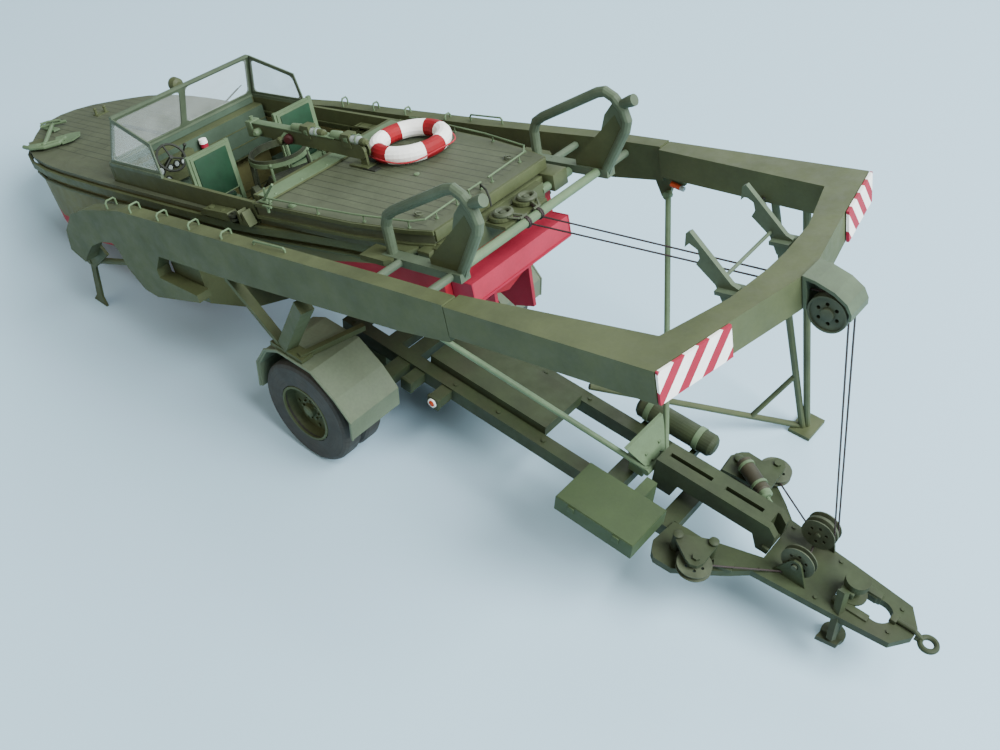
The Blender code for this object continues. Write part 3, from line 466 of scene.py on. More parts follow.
def makeWornOlive():
    # Drawbar and chassis: olive darkened as painted shade, with browner airbrushed weathering in patches.
    values = {"cloud": 48.0, "low": 0.46, "high": 0.70, "most": 0.5}
    mat, tree, shader = startMaterial("shadedWornOliveCard")
    cloud = noise(tree, objectCoords(tree), values["cloud"], 3.0)
    fade = remap(tree, cloud, values["low"], values["high"], 0.0, values["most"])
    return closeCard(mat, tree, shader, twoTones(tree, fade, "shadedOlive", "wornPatch", 130.0))


def makeClearSheet():
    # Thin clear film with a faint haze.
    values = {"haze": 90.0, "rough": (0.05, 0.14), "alpha": (0.13, 0.22), "tint": (0.72, 0.80, 0.80), "gloss": 0.6}
    mat, tree, shader = startMaterial("clearSheet")
    haze = noise(tree, objectCoords(tree), values["haze"], 3.0)
    tree.links.new(remap(tree, haze, 0.3, 0.7, *values["rough"]), shader["Roughness"])
    tree.links.new(remap(tree, haze, 0.3, 0.7, *values["alpha"]), shader["Alpha"])
    shader["Base Color"].default_value = colour(values["tint"])
    shader["Specular IOR Level"].default_value = values["gloss"]
    return mat


def makeThread(name, tint, pale):
    # Twisted thread: slanted strands, with a painted highlight on their backs.
    values = {"twist": 900.0, "wander": 1.5, "rough": (0.6, 0.8)}
    mat, tree, shader = startMaterial(name)
    strands = linked(tree, "ShaderNodeTexWave", {"bands_direction": "DIAGONAL"}, Vector=objectCoords(tree),
                     Scale=values["twist"], Distortion=values["wander"]).outputs[1]
    tree.links.new(mixColour(tree, strands, colour(tint), colour(pale)), shader["Base Color"])
    raised = linked(tree, "ShaderNodeBump", Strength=0.6, Distance=0.0001, Height=strands)
    tree.links.new(raised.outputs[0], shader["Normal"])
    tree.links.new(remap(tree, strands, 0.0, 1.0, *values["rough"]), shader["Roughness"])
    return mat


deckCard = makeDeckCard()
hullCard = makeHullCard()
tyreCard = makeTyreCard()
lifebuoyCard = makeLifebuoyCard()
stripeCard = makeStripeCard()
panelGreen = makePanelGreen()
shadedWornOlive = makeWornOlive()
clearSheet = makeClearSheet()
# Each thread: its own colour, then the paler colour of the painted highlight on its strands.
blackThread = makeThread("blackThread", (0.016, 0.010, 0.010), (0.045, 0.028, 0.026))
redThread = makeThread("redThread", (0.26, 0.008, 0.016), (0.42, 0.022, 0.036))
print("materials made")


def dressNodes():
    wear = {
        deckCard: ["aft_deck", "foredeck"], hullCard: ["hull"], tyreCard: ["wheels_left", "wheels_right"],
        lifebuoyCard: ["lifebuoy"], stripeCard: ["stripe_plate_left", "stripe_plate_right"], sillRed: ["stern_sill"],
        clearSheet: ["side_pane_left", "side_pane_right", "windscreen_pane_left", "windscreen_pane_right"],
        sage: ["seat_left", "seat_right", "carriage", "push_rods", "hoop_cross_tube", "anchor"],
        machine: ["engine"], dark: ["steering_wheel"], red: ["bottle"], boxGreen: ["toolbox"],
        # The mudguards wear the lit copy of the olive, painted light.
        litGuardCard: ["mudguard_left", "mudguard_right"],
        frameSage: ["push_hoop_left", "push_hoop_right", "apex_housing", "hook_arms"],
        # Drawbar and chassis parts take the darkened olive: painted shade, with browner weathering in patches.
        shadedWornOlive: ["drawbar", "chassis_frame", "towing_eye", "jack", "air_tank", "tray", "centre_beam"],
        sheaveCard: ["apex_sheave", "near_drawbar_sheave", "far_drawbar_sheave", "side_sheave_left",
                     "side_sheave_right"],
        blackThread: ["rope_left", "rope_right"],
    }
    chosen = {name: mat for mat, names in wear.items() for name in names}
    for name, node in cadNodes.items():
        for i in range(len(node.data.materials)):
            node.data.materials[i] = chosen.get(name, olive)
    print("CAD nodes painted", len(cadNodes))


dressNodes()


# Windscreen: flat card frames in place of the round bars of the CAD node.
def makeWindscreen():
    values = {"width": 1.6, "thick": 0.55, "corner": 1.9, "wiper": 0.22, "hub": 0.5, "blade": 0.34}
    foot, top = Vector((-167.2, 35.9, 0.6)), Vector((-159.0, 33.8, 19.1))
    mid, low = Vector((-133.9, 35.3, 12.9)), Vector((-132.4, 35.9, 0.6))
    flip = Matrix.Diagonal((1, -1, 1))
    footMid, topMid = (foot + flip @ foot) / 2, (top + flip @ top) / 2
    bm = bmesh.new()
    for side in (Matrix.Identity(3), flip):
        for corners in ([side @ foot, footMid, topMid, side @ top], [side @ p for p in (foot, top, mid, low)]):
            frameOf(bm, corners, values["width"], values["thick"], values["corner"])
    slab(bm, (-160.0, -33.6, 18.5), (-158.4, 33.6, 19.5))
    slab(bm, (-168.2, -36.0, 0.0), (-166.4, 36.0, 1.1))
    for s in (-1, 1):
        slab(bm, (-167.2, s * 36.0 - 0.6, -0.2), (-131.8, s * 36.0 + 0.6, 1.1))
    frameWork = finishPiece("windscreen_card_frames", bm, boatPlace, frameSage)
    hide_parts("windscreen_frame")
    bm = bmesh.new()
    rod(bm, (-168.4, 19.4, 1.0), (-166.0, 31.4, 6.6), values["wiper"])
    rod(bm, (-168.4, 19.4, 0.4), (-168.4, 19.4, 1.4), values["hub"])
    rod(bm, (-168.0, 21.6, 2.0), (-166.4, 29.6, 5.8), values["blade"])
    finishPiece("wiper", bm, boatPlace, dark)
    print("windscreen made")


makeWindscreen()


# Hand rails on the aft deck and grab handles on the frame arms.
def handle(bm, start, end, tall, radius):
    start, end = Vector(start), Vector(end)
    inward = (end - start).normalized() * 0.6
    low, high = Vector((0, 0, tall * 0.75)), Vector((0, 0, tall))
    bentRod(bm, [start, start + low, start + inward + high, end - inward + high, end + low, end], radius)


def makeRails():
    values = {"height": 2.3, "bar": 0.32, "post": 0.24, "foot": 0.6, "sunk": -0.2, "handle": 0.36,
              "handleHeight": 3.0}
    bm = bmesh.new()
    h, sunk = values["height"], values["sunk"]
    near = [(-70, -35.2), (-50, -34), (-30, -32.3), (-8, -28.8), (-4, -26), (-4.5, -10)]
    middle = [(-4.5, -5.5), (-4.5, 1.0)]
    far = [(-4.5, 4.5), (-5.5, 24.0), (-9.0, 28.5), (-30, 32.3), (-50, 34), (-70, 35)]
    for bar in (near, far, middle):
        bentRod(bm, [(*p, h) for p in bar], values["bar"])
    posts = [(-69, -35.15), (-46, -33.7), (-26, -31.6), (-8.5, -28.9), (-4.3, -20.7), (-4.5, -11), (-4.5, -5),
             (-4.5, 0.6), (-4.5, 6.1), (-5.3, 21.2), (-9, 28.4), (-26, 31.7), (-46, 33.7), (-69, 34.9)]
    for along, across in posts:
        rod(bm, (along, across, sunk), (along, across, h), values["post"], 8)
        rod(bm, (along, across, sunk), (along, across, 0.35), values["foot"], 10)
    finishPiece("deck_hand_rail", bm, boatPlace, sage)
    bm = bmesh.new()
    tall = values["handleHeight"]
    for along in (-143, -126.5, -109, -90, -71.5):
        level = -5.4 if along < -134 else -4.2
        handle(bm, (along, -55.6, level), (along, -51.5, level), tall, values["handle"])
    for along in (-128.5, -109.5, -91, -69):
        handle(bm, (along, 51.8, -7.2), (along, 54.8, -7.2), tall + 0.6, values["handle"])
    handle(bm, (-57, 53.5, -5.6), (-41, 53.5, -5.0), tall, values["handle"])
    handle(bm, (-56.5, -53.8, -4.2), (-41, -53.4, -3.8), tall - 0.6, values["handle"])
    finishPiece("arm_grab_handles", bm, boatPlace, sage)
    print("rails made")


makeRails()


# Seats: green padded panels in their pale frames.
def makeSeatPanels():
    values = {"front": (-119.9, -119.4), "back": (-122.6, -122.0), "foot": -11.4, "head": 5.2, "inner": 13.2,
              "outer": 29.0, "inset": 0.5, "soft": 0.22, "cushion": 0.9}
    bm = bmesh.new()
    for s in (-1, 1):
        low, high = sorted((s * values["outer"], s * values["inner"]))
        for aft, fore in (values["front"], values["back"]):
            slab(bm, (aft, low + values["inset"], values["foot"]), (fore, high - values["inset"], values["head"]),
                 values["soft"])
        slab(bm, (-134.2, low + 0.3, -16.1), (-122.2, high - 0.3, -13.6), values["cushion"])
    finishPiece("seat_panels", bm, boatPlace, panelGreen)
    print("seat panels made")


makeSeatPanels()


# Lifebuoy: a grab rope held by its bands.
def makeGrabRope():
    values = {"radius": 15.0, "slack": 1.1, "wave": 0.5, "level": -0.9, "thread": 0.28, "points": 48}
    bm = bmesh.new()
    route = []
    for k in range(values["points"] + 1):
        turn = 2 * math.pi * k / values["points"]
        out = values["radius"] + values["slack"] * math.sin(2 * turn + 0.6) ** 2
        route.append((*onCircle(out, turn), values["level"] + values["wave"] * math.cos(4 * turn)))
    bentRod(bm, route, values["thread"], 6)
    finishPiece("lifebuoy_grab_rope", bm, lifebuoyPlace, redThread)
    print("lifebuoy dressed")


makeGrabRope()


# Bow: chock plate, fairlead, anchor flukes and the dark bar on the foredeck.
def makeBowFittings():
    values = {"deck": -6.7, "post": 0.75, "postTop": -3.9, "fluke": (-5.5, -4.8), "shank": 0.7, "hook": 0.55}
    bm = bmesh.new()
    chock = [(-252.4, -28.0), (-250.4, -22.6), (-244.6, -23.4), (-239.4, -31.6), (-243.0, -32.2)]
    plate(bm, chock, "z", values["deck"], -5.9)
    for along, across in ((-250.5, 6.4), (-248.6, 10.2)):
        rod(bm, (along, across, -6.6), (along, across, values["postTop"]), values["post"], 12, 0.6)
        bead(bm, (along, across, values["postTop"]), 0.85, (1, 1, 0.7))
    slab(bm, (-251.6, 5.2, values["deck"]), (-247.4, 11.4, -6.3))
    finishPiece("bow_chock_and_fairlead", bm, boatPlace, olive)
    bm = bmesh.new()
    inner = [(-240.4, -20.6), (-237.2, -15.0), (-233.8, -12.2), (-230.0, -14.6), (-228.2, -19.2), (-229.6, -23.6),
             (-235.0, -24.0)]
    outer = [(-246.0, -31.0), (-240.8, -26.8), (-236.0, -27.6), (-238.4, -32.4), (-243.4, -34.0)]
    for outline in (inner, outer):
        plate(bm, outline, "z", *values["fluke"])
    rod(bm, (-238.6, -31.0, -4.4), (-231.4, -21.0, -4.4), values["shank"], 10)
    bentRod(bm, [(-262.0, -15.4, -3.6), (-259.4, -12.6, -3.2), (-256.0, -8.6, -3.6)], values["hook"])
    bead(bm, (-236.6, -28.4, -4.2), 1.2, (1.2, 1, 0.6))
    finishPiece("anchor_flukes", bm, boatPlace, sage)
    bm = bmesh.new()
    slab(bm, (-222.0, 1.6, values["deck"]), (-182.5, 3.6, -6.2), 0.1)
    finishPiece("foredeck_bar", bm, boatPlace, dark)
    print("bow fittings made")


makeBowFittings()


# Cockpit: dashboard, instruments, panel lines, lever and cleats on the coaming.
def makeCockpitTrim():
    values = {"dial": 1.7, "smallDial": 1.15, "tinyDial": 0.8, "dash": -156.1, "rim": 0.35, "panel": 34.1,
              "wall": 34.4, "ledge": 0.35, "knob": 0.75}
    bm = bmesh.new()
    wide, wall = values["panel"], values["wall"]
    slab(bm, (-166.0, -wide, -2.0), (-165.5, wide, 0.3))
    slab(bm, (-159.9, -wide, -19.0), (-159.5, wide, -2.4))
    slab(bm, (-81.2, -33.9, -32.0), (-80.7, 33.9, -1.2))
    finishPiece("teal_bulkhead_panels", bm, boatPlace, tealSage)
    bm = bmesh.new()
    for side in (-1, 1):
        for level in (-5.6, -12.6, -20.0):
            slab(bm, (-164.6, side * wall - 0.25, level - 0.25), (-82.0, side * wall + 0.25, level + 0.25))
        for along in (-146, -126, -106, -88):
            slab(bm, (along - 0.35, side * wall - 0.3, -31.5), (along + 0.35, side * wall + 0.3, -5.6))
    for level in (-7.8, -14.2):
        slab(bm, (-159.6, -34.0, level - 0.2), (-159.6 + values["ledge"], 34.0, level + 0.2))
    for along in range(-158, -82, 6):
        slab(bm, (along, -33.6, -33.1), (along + 0.4, 33.6, -32.7))
    finishPiece("cockpit_stringers", bm, boatPlace, olive)
    big, small = values["dial"], values["smallDial"]
    dials = [(-27.5, -7.4, big), (-23.2, -7.0, big), (-18.6, -7.2, small), (-15.4, -7.0, small), (-12.2, -7.3, small),
             (-25.4, -11.2, small), (-21.0, -11.3, small), (-9.4, -10.2, values["tinyDial"])]
    bm = bmesh.new()
    for across, level, size in dials:
        rim = size + values["rim"]
        turned(bm, [(0, rim), (0.7, rim), (0.8, size), (0.45, size)], (values["dash"], across, level), (1, 0, 0), 20)
    rod(bm, (-156.0, -31.6, -10.5), (-153.6, -31.6, -7.6), 0.3)
    bead(bm, (-153.6, -31.6, -7.4), 0.7)
    rod(bm, (-156.2, -12.0, -6.0), (-152.8, -11.0, -0.6), 0.35)
    bead(bm, (-152.8, -11.0, -0.4), values["knob"])
    finishPiece("instrument_rims", bm, boatPlace, dark)
    bm = bmesh.new()
    for across, level, size in dials:
        turned(bm, [(0.4, size * 0.9), (0.62, size * 0.82)], (values["dash"], across, level), (1, 0, 0), 18)
    finishPiece("instrument_faces", bm, boatPlace, lens)
    bm = bmesh.new()
    rod(bm, (-157.2, 0, -5.0), (-157.2, 0, -3.2), 1.75, 16, 1.55)
    rod(bm, (-157.2, 0, -6.8), (-157.2, 0, -5.0), 0.9, 14)
    finishPiece("bottle_cap", bm, boatPlace, white)
    bm = bmesh.new()
    bentRod(bm, [(-74.0, -34.7, 0.4), (-72.0, -34.7, 1.2), (-69.4, -34.7, 4.0), (-65.2, -34.7, 7.8)], 0.45)
    bentRod(bm, [(-72.6, -34.7, 0.4), (-71.4, -34.7, 2.2), (-70.6, -34.7, 5.6)], 0.35)
    slab(bm, (-74.6, -35.9, 0.2), (-69.6, -33.6, 0.75), 0.15)
    for along, across in ((-66.9, -38.0), (-66.9, 37.2)):
        rod(bm, (along - 2.2, across, 1.0), (along + 2.2, across, 1.0), 0.4)
        rod(bm, (along, across, -1.2), (along, across, 1.0), 0.5)
    for side in (-1, 1):
        turned(bm, [(0, 1.5), (0.6, 1.5), (1.1, 0.6)], (-60.0, side * 33.0, 0), (0, 0, 1), 16)
    finishPiece("lever_and_cleats", bm, boatPlace, sage)
    print("cockpit trim made")


makeCockpitTrim()


# Boxes with caps, rollers and fins outside the coaming.
def makeSideBoxes():
    values = {"box": (37.0, 41.0), "fin": (37.2, 40.8), "cap": 1.15, "roller": 2.0, "rollerAt": 39.6, "foot": -7.4}
    foot = values["foot"]
    bm = bmesh.new()
    for side in (-1, 1):
        box = [(-105.2, foot), (-102.6, -4.9), (-88.2, -4.1), (-86.4, foot)]
        plate(bm, box, "y", *sorted(side * v for v in values["box"]))
        for along in (-99.6, -92.6):
            cap = [(0, values["cap"]), (0.45, values["cap"]), (0.6, 0.8)]
            turned(bm, cap, (along, side * 39.0, -4.75), (0.04, 0, 1), 16)
        for along in (-79.4, -82.0):
            fin = [(along - 0.3, foot), (along + 2.6, foot), (along + 0.5, -2.2), (along - 0.3, -2.4)]
            plate(bm, fin, "y", *sorted(side * v for v in values["fin"]))
    finishPiece("side_boxes", bm, boatPlace, olive)
    bm = bmesh.new()
    for side in (-1, 1):
        across = side * values["rollerAt"]
        for level in (-6.6, -5.2):
            turned(bm, [(0, values["roller"]), (0.8, values["roller"])], (-86.0, across, level), (0, 0, 1), 20)
        rod(bm, (-86.0, across, -7.2), (-86.0, across, -3.8), 0.7)
    finishPiece("side_rollers", bm, boatPlace, machine)
    bm = bmesh.new()
    for level in (-3.2, -5.4):
        slab(bm, (-98.0, 30.8, level - 0.3), (-78.5, 34.4, level + 0.3))
    for along in (-96.5, -90.5, -84.5):
        slab(bm, (along - 0.4, 31.2, -7.2), (along + 0.4, 34.4, -2.9))
    finishPiece("far_locker_slats", bm, boatPlace, olive)
    print("side boxes made")


makeSideBoxes()


# Engine bay: guard ring with its straps, and the discs, boxes, hoses and pipes on the engine.
def makeEngineDetail():
    values = {"ring": (10.7, 11.4), "straps": (40, 128, 215, 305), "strapAt": 11.2, "strap": 0.55, "floor": -31.6}
    bm = bmesh.new()
    ringAt = Vector((-108, 0, -2))
    low, high = values["ring"]
    spun(bm, [(-0.4, low), (-0.4, high), (1.2, high), (1.2, low)], ringAt - Vector((0, 0, 1.2)), (0, 0, 1), 40)
    for turn in values["straps"]:
        x, y = onCircle(values["strapAt"], math.radians(turn))
        rod(bm, ringAt + Vector((x, y, -1.6)), ringAt + Vector((x * 1.28, y * 1.18, -29.8)), values["strap"], 8)
        bead(bm, ringAt + Vector((x, y, -0.6)), 0.8)
    finishPiece("intake_guard_straps", bm, boatPlace, sage)
    bm = bmesh.new()
    pulley = [(0, 4.6), (0.8, 5.0), (1.6, 4.6), (2.2, 5.0), (3.0, 4.6)]
    disc = [(-2.2, 1.8), (0, 1.8), (0, 3.4), (2.4, 3.4), (3.2, 2.0)]
    turned(bm, pulley, (-96.5, 9.4, -13.5), (0.35, 1, 0), 26)
    turned(bm, disc, (-108.6, -12.2, -13.5), (-0.35, -1, 0), 22)
    for across in (-5.6, -2.0, 1.6, 5.2):
        rod(bm, (-114, across, -17.2), (-114, across, -13.8), 0.9, 12, 0.7)
        bentRod(bm, [(-114, across, -14.4), (-111.5, across + 0.5, -11.6), (-107.5, across * 0.6, -12.8)], 0.3, 6)
    slab(bm, (-115.2, -8.0, -18.2), (-89.0, 8.0, -16.4), 0.5)
    slab(bm, (-101.5, -6.0, -16.6), (-90.0, 6.0, -13.2), 0.8)
    bentRod(bm, [(-100, -6, -15), (-100, -9, -13), (-100, -9.6, -20), (-100, -9.6, -30)], 0.7, 10)
    bentRod(bm, [(-90, 4, -15), (-86, 7, -14), (-83.5, 7, -18), (-83, 7, -30)], 0.8, 10)
    for across in (-12.6, 12.6):
        for along, level in ((-113, -25), (-95, -26)):
            rod(bm, (along, across, values["floor"]), (along, across, level), 1.4, 14)
    finishPiece("engine_pipes", bm, boatPlace, machine)
    print("engine detail made")


makeEngineDetail()


# Folded mast: end box, side lamps, and two lamps with clear lenses behind ring guards.
def makeMastDetail():
    values = {"lamps": (-26.9, -5.4), "bases": (-35.8, -14.2), "reach": 5.0, "guard": 1.6, "wire": 0.25, "bar": 0.2}
    bm = bmesh.new()
    slab(bm, (-62.0, -2.3, -2.2), (-58.6, 2.3, 3.9), 0.3)
    slab(bm, (-58.8, -1.7, 3.0), (-12.0, 1.7, 3.5), 0.1)
    rod(bm, (-60.3, 0, 3.8), (-60.3, 0, 5.2), 0.8, 12)
    for x in values["lamps"]:
        tip = x + values["reach"]
        ring(bm, (tip, -0.2, 4.1), (1, 0, 0), values["guard"], values["wire"], 24, 8)
        for turn in (90, 210, 330):
            y, z = onCircle(values["guard"], math.radians(turn))
            rod(bm, (x + 0.8, y - 0.2, 3.9 + z), (tip, y - 0.2, 4.1 + z), values["bar"], 6)
        turned(bm, [(0, 1.8), (1.2, 2.0), (2.0, 2.0)], (x - 1.0, -0.2, 3.7), (1, 0, 0), 20)
    finishPiece("mast_lamp_guards", bm, mastPlace, sage, body="folding_mast")
    bm = bmesh.new()
    for x in values["lamps"]:
        spun(bm, [(0, 0), (0, 1.55), (3.6, 1.6), (5.0, 1.1), (5.4, 0)], (x + 1.8, -0.2, 3.7), (1, 0, 0), 20)
    finishPiece("mast_lamp_lenses", bm, mastPlace, lens, body="folding_mast")
    bm = bmesh.new()
    turned(bm, [(0, 1.7), (0.8, 1.8), (2.4, 1.8), (3.1, 1.2)], (-37.9, -1.4, 0.2), (0.8, -1, 0), 20)
    finishPiece("mast_red_lamp", bm, mastPlace, lampRed, body="folding_mast")
    bm = bmesh.new()
    turned(bm, [(0, 2.2), (1.4, 2.2)], (-39.4, -1.1, 0.0), (0.8, -1, 0), 20)
    turned(bm, [(0, 1.5), (2.4, 1.5), (3.2, 0.8)], (-55.4, -1.4, 0.4), (0.3, -1, 0.1), 18)
    for x in values["bases"]:
        turned(bm, [(0, 1.5), (4.4, 1.7), (5.4, 1.2)], (x, 0.2, 3.9), (1, 0, 0), 18)
    finishPiece("mast_lamp_bases", bm, mastPlace, sage, body="folding_mast")
    print("mast detail made")


makeMastDetail()


# Stern: plates, stub tubes, rings, shackles, lashings, latch, pale plate and the gusset wings of the hoops.
def makeSternFittings():
    values = {"tube": 1.5, "drop": -7.4, "eyeAt": 5.8, "eye": (2.6, 0.85), "link": 0.35, "strand": 0.26,
              "lashing": (1.75, 0.3), "wing": (35.35, 36.85)}
    bm = bmesh.new()
    slab(bm, (-0.2, -27.2, -3.9), (0.9, 27.2, -0.2), 0.2)
    slab(bm, (0.0, -27.4, -8.4), (2.2, 27.4, -4.4), 0.2)
    for side in (-1, 1):
        low, high = sorted((side * 27.4, side * 34.2))
        plate(bm, [(-15.6, low), (-6.6, low), (-4.6, (low + high) / 2), (-6.6, high), (-15.6, high)], "z", -6.8, -5.2)
        low, high = sorted((side * 27.0, side * 32.4))
        slab(bm, (-3.6, low, values["drop"]), (1.6, high, -5.0), 0.3)
        low, high = sorted((side * 34.0, side * 41.4))
        pad = [(-20, low), (-9.4, low), (-7.4, low + 1.6), (-7.4, high - 1.6), (-9.4, high), (-20, high)]
        plate(bm, pad, "z", -7.2, -5.3)
    slab(bm, (0.8, 22.6, -9.4), (7.0, 30.0, -3.6), 0.4)
    slab(bm, (0.8, -30.0, -9.4), (7.0, -24.6, -4.6), 0.4)
    finishPiece("stern_plates", bm, boatPlace, olive)
    bm = bmesh.new()
    for low, high in ((-34.0, -18.4), (18.4, 34.0)):
        rod(bm, (4.4, low, values["drop"]), (4.4, high, values["drop"]), values["tube"], 16)
    finishPiece("stern_stub_tubes", bm, boatPlace, sage)
    bm = bmesh.new()
    for side in (-1, 1):
        eye = side * values["eyeAt"]
        ring(bm, (9.6, eye, -2.6), (0, 0, 1), *values["eye"], 32, 8)
        turned(bm, [(0, 1.3), (0.9, 1.0)], (9.6, eye, -3.2), (0, 0, 1), 16)
        bentRod(bm, [(12.4, eye - 1.3, -3.2), (15.0, side * 4.6 - 0.9, -3.8), (15.6, side * 4.0, -4.3),
                     (15.0, side * 4.0 + 0.9, -3.8), (12.4, eye + 1.3, -3.2)], values["link"], 8)
        rod(bm, (15.4, side * 3.4 - 1.6, -4.1), (15.4, side * 3.4 + 1.6, -4.1), 0.45, 8)
    for along, across in ((-11.2, 22.3), (-11.6, -21.2)):
        ring(bm, (along, across, 0.55), (0.2, 0.3, 1), 1.2, 0.28, 20, 6)
        turned(bm, [(0, 1.6), (0.3, 1.6)], (along, across, 0), (0, 0, 1), 14)
    finishPiece("stern_rings_and_shackles", bm, boatPlace, sheaveCard)
    bm = bmesh.new()
    for side in (-1, 1):
        for shift in (-0.55, 0.0, 0.55):
            bentRod(bm, [(11.8, side * 5.0 + shift, -4.0), (14.6, side * 4.0 + shift, -4.6),
                         (17.6, side * 3.0 + shift, -5.0)], values["strand"], 6)
        for across in (2.7, 3.4):
            ring(bm, (16.1, side * across, -6.0), (0, 1, 0), *values["lashing"], 24, 6)
    finishPiece("rope_lashings", bm, boatPlace, blackThread)
    bm = bmesh.new()
    slab(bm, (-57.0, -2.6, -0.1), (-50.8, 0.6, 0.5), 0.15)
    hook = [(-5.0, 0.9, 0.0), (-4.0, 0.2, 1.8), (0.4, -2.2, 1.8), (2.6, -3.6, 0.0), (3.4, -4.3, -2.4)]
    bentRod(bm, hook, values["link"], 8)
    finishPiece("deck_latch_and_hook", bm, boatPlace, dark)
    bm = bmesh.new()
    turned(bm, [(0, 1.0), (0.3, 1.0), (0.5, 0.6)], (-34.5, 1.4, 0), (0, 0, 1), 16)
    slab(bm, (-78.3, -33.0, 0.9), (-70.7, 33.0, 1.05))
    for across in (-30, -18, -6, 6, 18, 30):
        turned(bm, [(0, 0.5), (0.25, 0.35)], (-72.0, across, 1.05), (0, 0, 1), 10)
    finishPiece("pale_aft_plate", bm, boatPlace, sage)
    bm = bmesh.new()
    wing = [(25.0, 14.4), (6.8, -3.2), (6.8, -7.9), (19.0, -7.9), (27.4, 9.0)]
    for side in (-1, 1):
        plate(bm, wing, "y", *sorted(side * v for v in values["wing"]))
    finishPiece("hoop_gusset_wings", bm, boatPlace, olive)
    print("stern made")


makeSternFittings()


# Strakes along the topsides, the edge and ledge round the aft deck, and the edges of the red sill.
def makeStrakes():
    values = {"strake": 0.7, "level": -15.0, "climb": 0.004, "edge": (-1.5, -0.12, 0.7), "ledge": (-5.7, -4.6, 1.1)}
    bm = bmesh.new()
    for side in (-1, 1):
        points = [(-258, 21.2), (-248, 29.4), (-238, 34.6), (-225, 38.0), (-205, 39.6), (-175, 39.8), (-131, 39.2),
                  (-93, 38.4), (-66, 35.0), (-41, 31.8), (-20, 29.9), (-1, 28.7)]
        route = [(u, side * (v + 0.1), values["level"] + values["climb"] * (u + 260)) for u, v in points]
        bentRod(bm, route, values["strake"], 8)
    finishPiece("lower_rubbing_strake", bm, boatPlace, olive)
    bm = bmesh.new()
    for low, high, out in (values["edge"], values["ledge"]):
        half = [(-76.2, -36.0), (-60, -35.0), (-30, -33.2), (-8, -29.6), (0.3, -27.2)]
        rim = [(u, v - out) for u, v in half]
        plate(bm, rim + [(u, -v) for u, v in reversed(rim)], "z", low, high)
    finishPiece("aft_deck_edges", bm, boatPlace, olive)
    bm = bmesh.new()
    slab(bm, (8.9, -24.4, -26.2), (9.3, 24.4, -25.4))
    for low, high in ((-24.9, -24.4), (24.4, 24.9)):
        slab(bm, (0.4, low, -26.1), (9.2, high, -18.4))
    for side in (-1, 1):
        rod(bm, (-13.6, side * 9.0, -44.2), (-6.8, side * 9.0, -48.8), 0.7, 10)
    finishPiece("sill_edges", bm, boatPlace, red)
    print("strakes made")


makeStrakes()


# Apex and hooks: sheave rims with their bosses, and the black ring by the far hook.
def makeApexDetail():
    values = {"sheave": (116.4, -12.6), "face": 4.35, "rim": (5.0, 5.5), "ring": (2.2, 0.45)}
    bm = bmesh.new()
    along, level = values["sheave"]
    low, high = values["rim"]
    for side in (-1, 1):
        centre = (along, side * values["face"], level)
        spun(bm, [(0, low), (0, high), (0.5, high), (0.5, low)], centre, (0, side, 0), 32)
        turned(bm, [(0, 1.9), (0.7, 1.9), (0.9, 1.1)], centre, (0, side, 0), 20)
    finishPiece("apex_sheave_rims", bm, boatPlace, sheaveCard)
    bm = bmesh.new()
    ring(bm, (70.5, 44.6, -13.4), (0.5, 1, 0.2), *values["ring"], 24, 8)
    rod(bm, (70.5, 44.8, -11.4), (72.0, 49.7, -10.4), 0.5, 8)
    finishPiece("black_hook_ring", bm, boatPlace, dark)
    print("apex detail made")


makeApexDetail()


# Running gear: wheel nuts, holes of the rims and mudguard lips.
def makeRunningGear():
    values = {"axle": (1.6, 21.05), "nuts": 8, "nut": 0.5, "nutCircle": 3.9, "hole": 0.75, "holeCircle": 8.2,
              "shift": 0.2, "lip": 0.45, "lipAt": 53.1}
    along, level = values["axle"]
    for side, name in ((-1, "left"), (1, "right")):
        bm = bmesh.new()
        for k in range(values["nuts"]):
            turn = 2 * math.pi * k / values["nuts"]
            x, z = onCircle(values["nutCircle"], turn)
            rod(bm, (along + x, side * 49.2, level + z), (along + x, side * 50.3, level + z), values["nut"], 6)
            x, z = onCircle(values["holeCircle"], turn + values["shift"])
            rod(bm, (along + x, side * 47.9, level + z), (along + x, side * 48.6, level + z), values["hole"], 10)
        rim = [(0, 10.6), (0, 11.7), (0.7, 11.5), (0.7, 10.6)]
        spun(bm, rim, (along, side * 52.2, level), (0, side, 0), 40)
        finishPiece("wheel_nuts_" + name, bm, groundPlace, olive, body="wheel_pair_" + name)
    bm = bmesh.new()
    lip = [(-21.8, 21.4), (-21.2, 33.5), (-15.6, 42.5), (-8.5, 46.1), (8.5, 46), (19.5, 39.3), (26.6, 32.5),
           (26.7, 24.4)]
    for side in (-1, 1):
        bentRod(bm, [(x, side * values["lipAt"], z) for x, z in lip], values["lip"], 8)
    # The lips take the same lit copy of the olive, painted light.
    finishPiece("mudguard_lips", bm, groundPlace, litGuardCard)
    print("running gear made")


makeRunningGear()


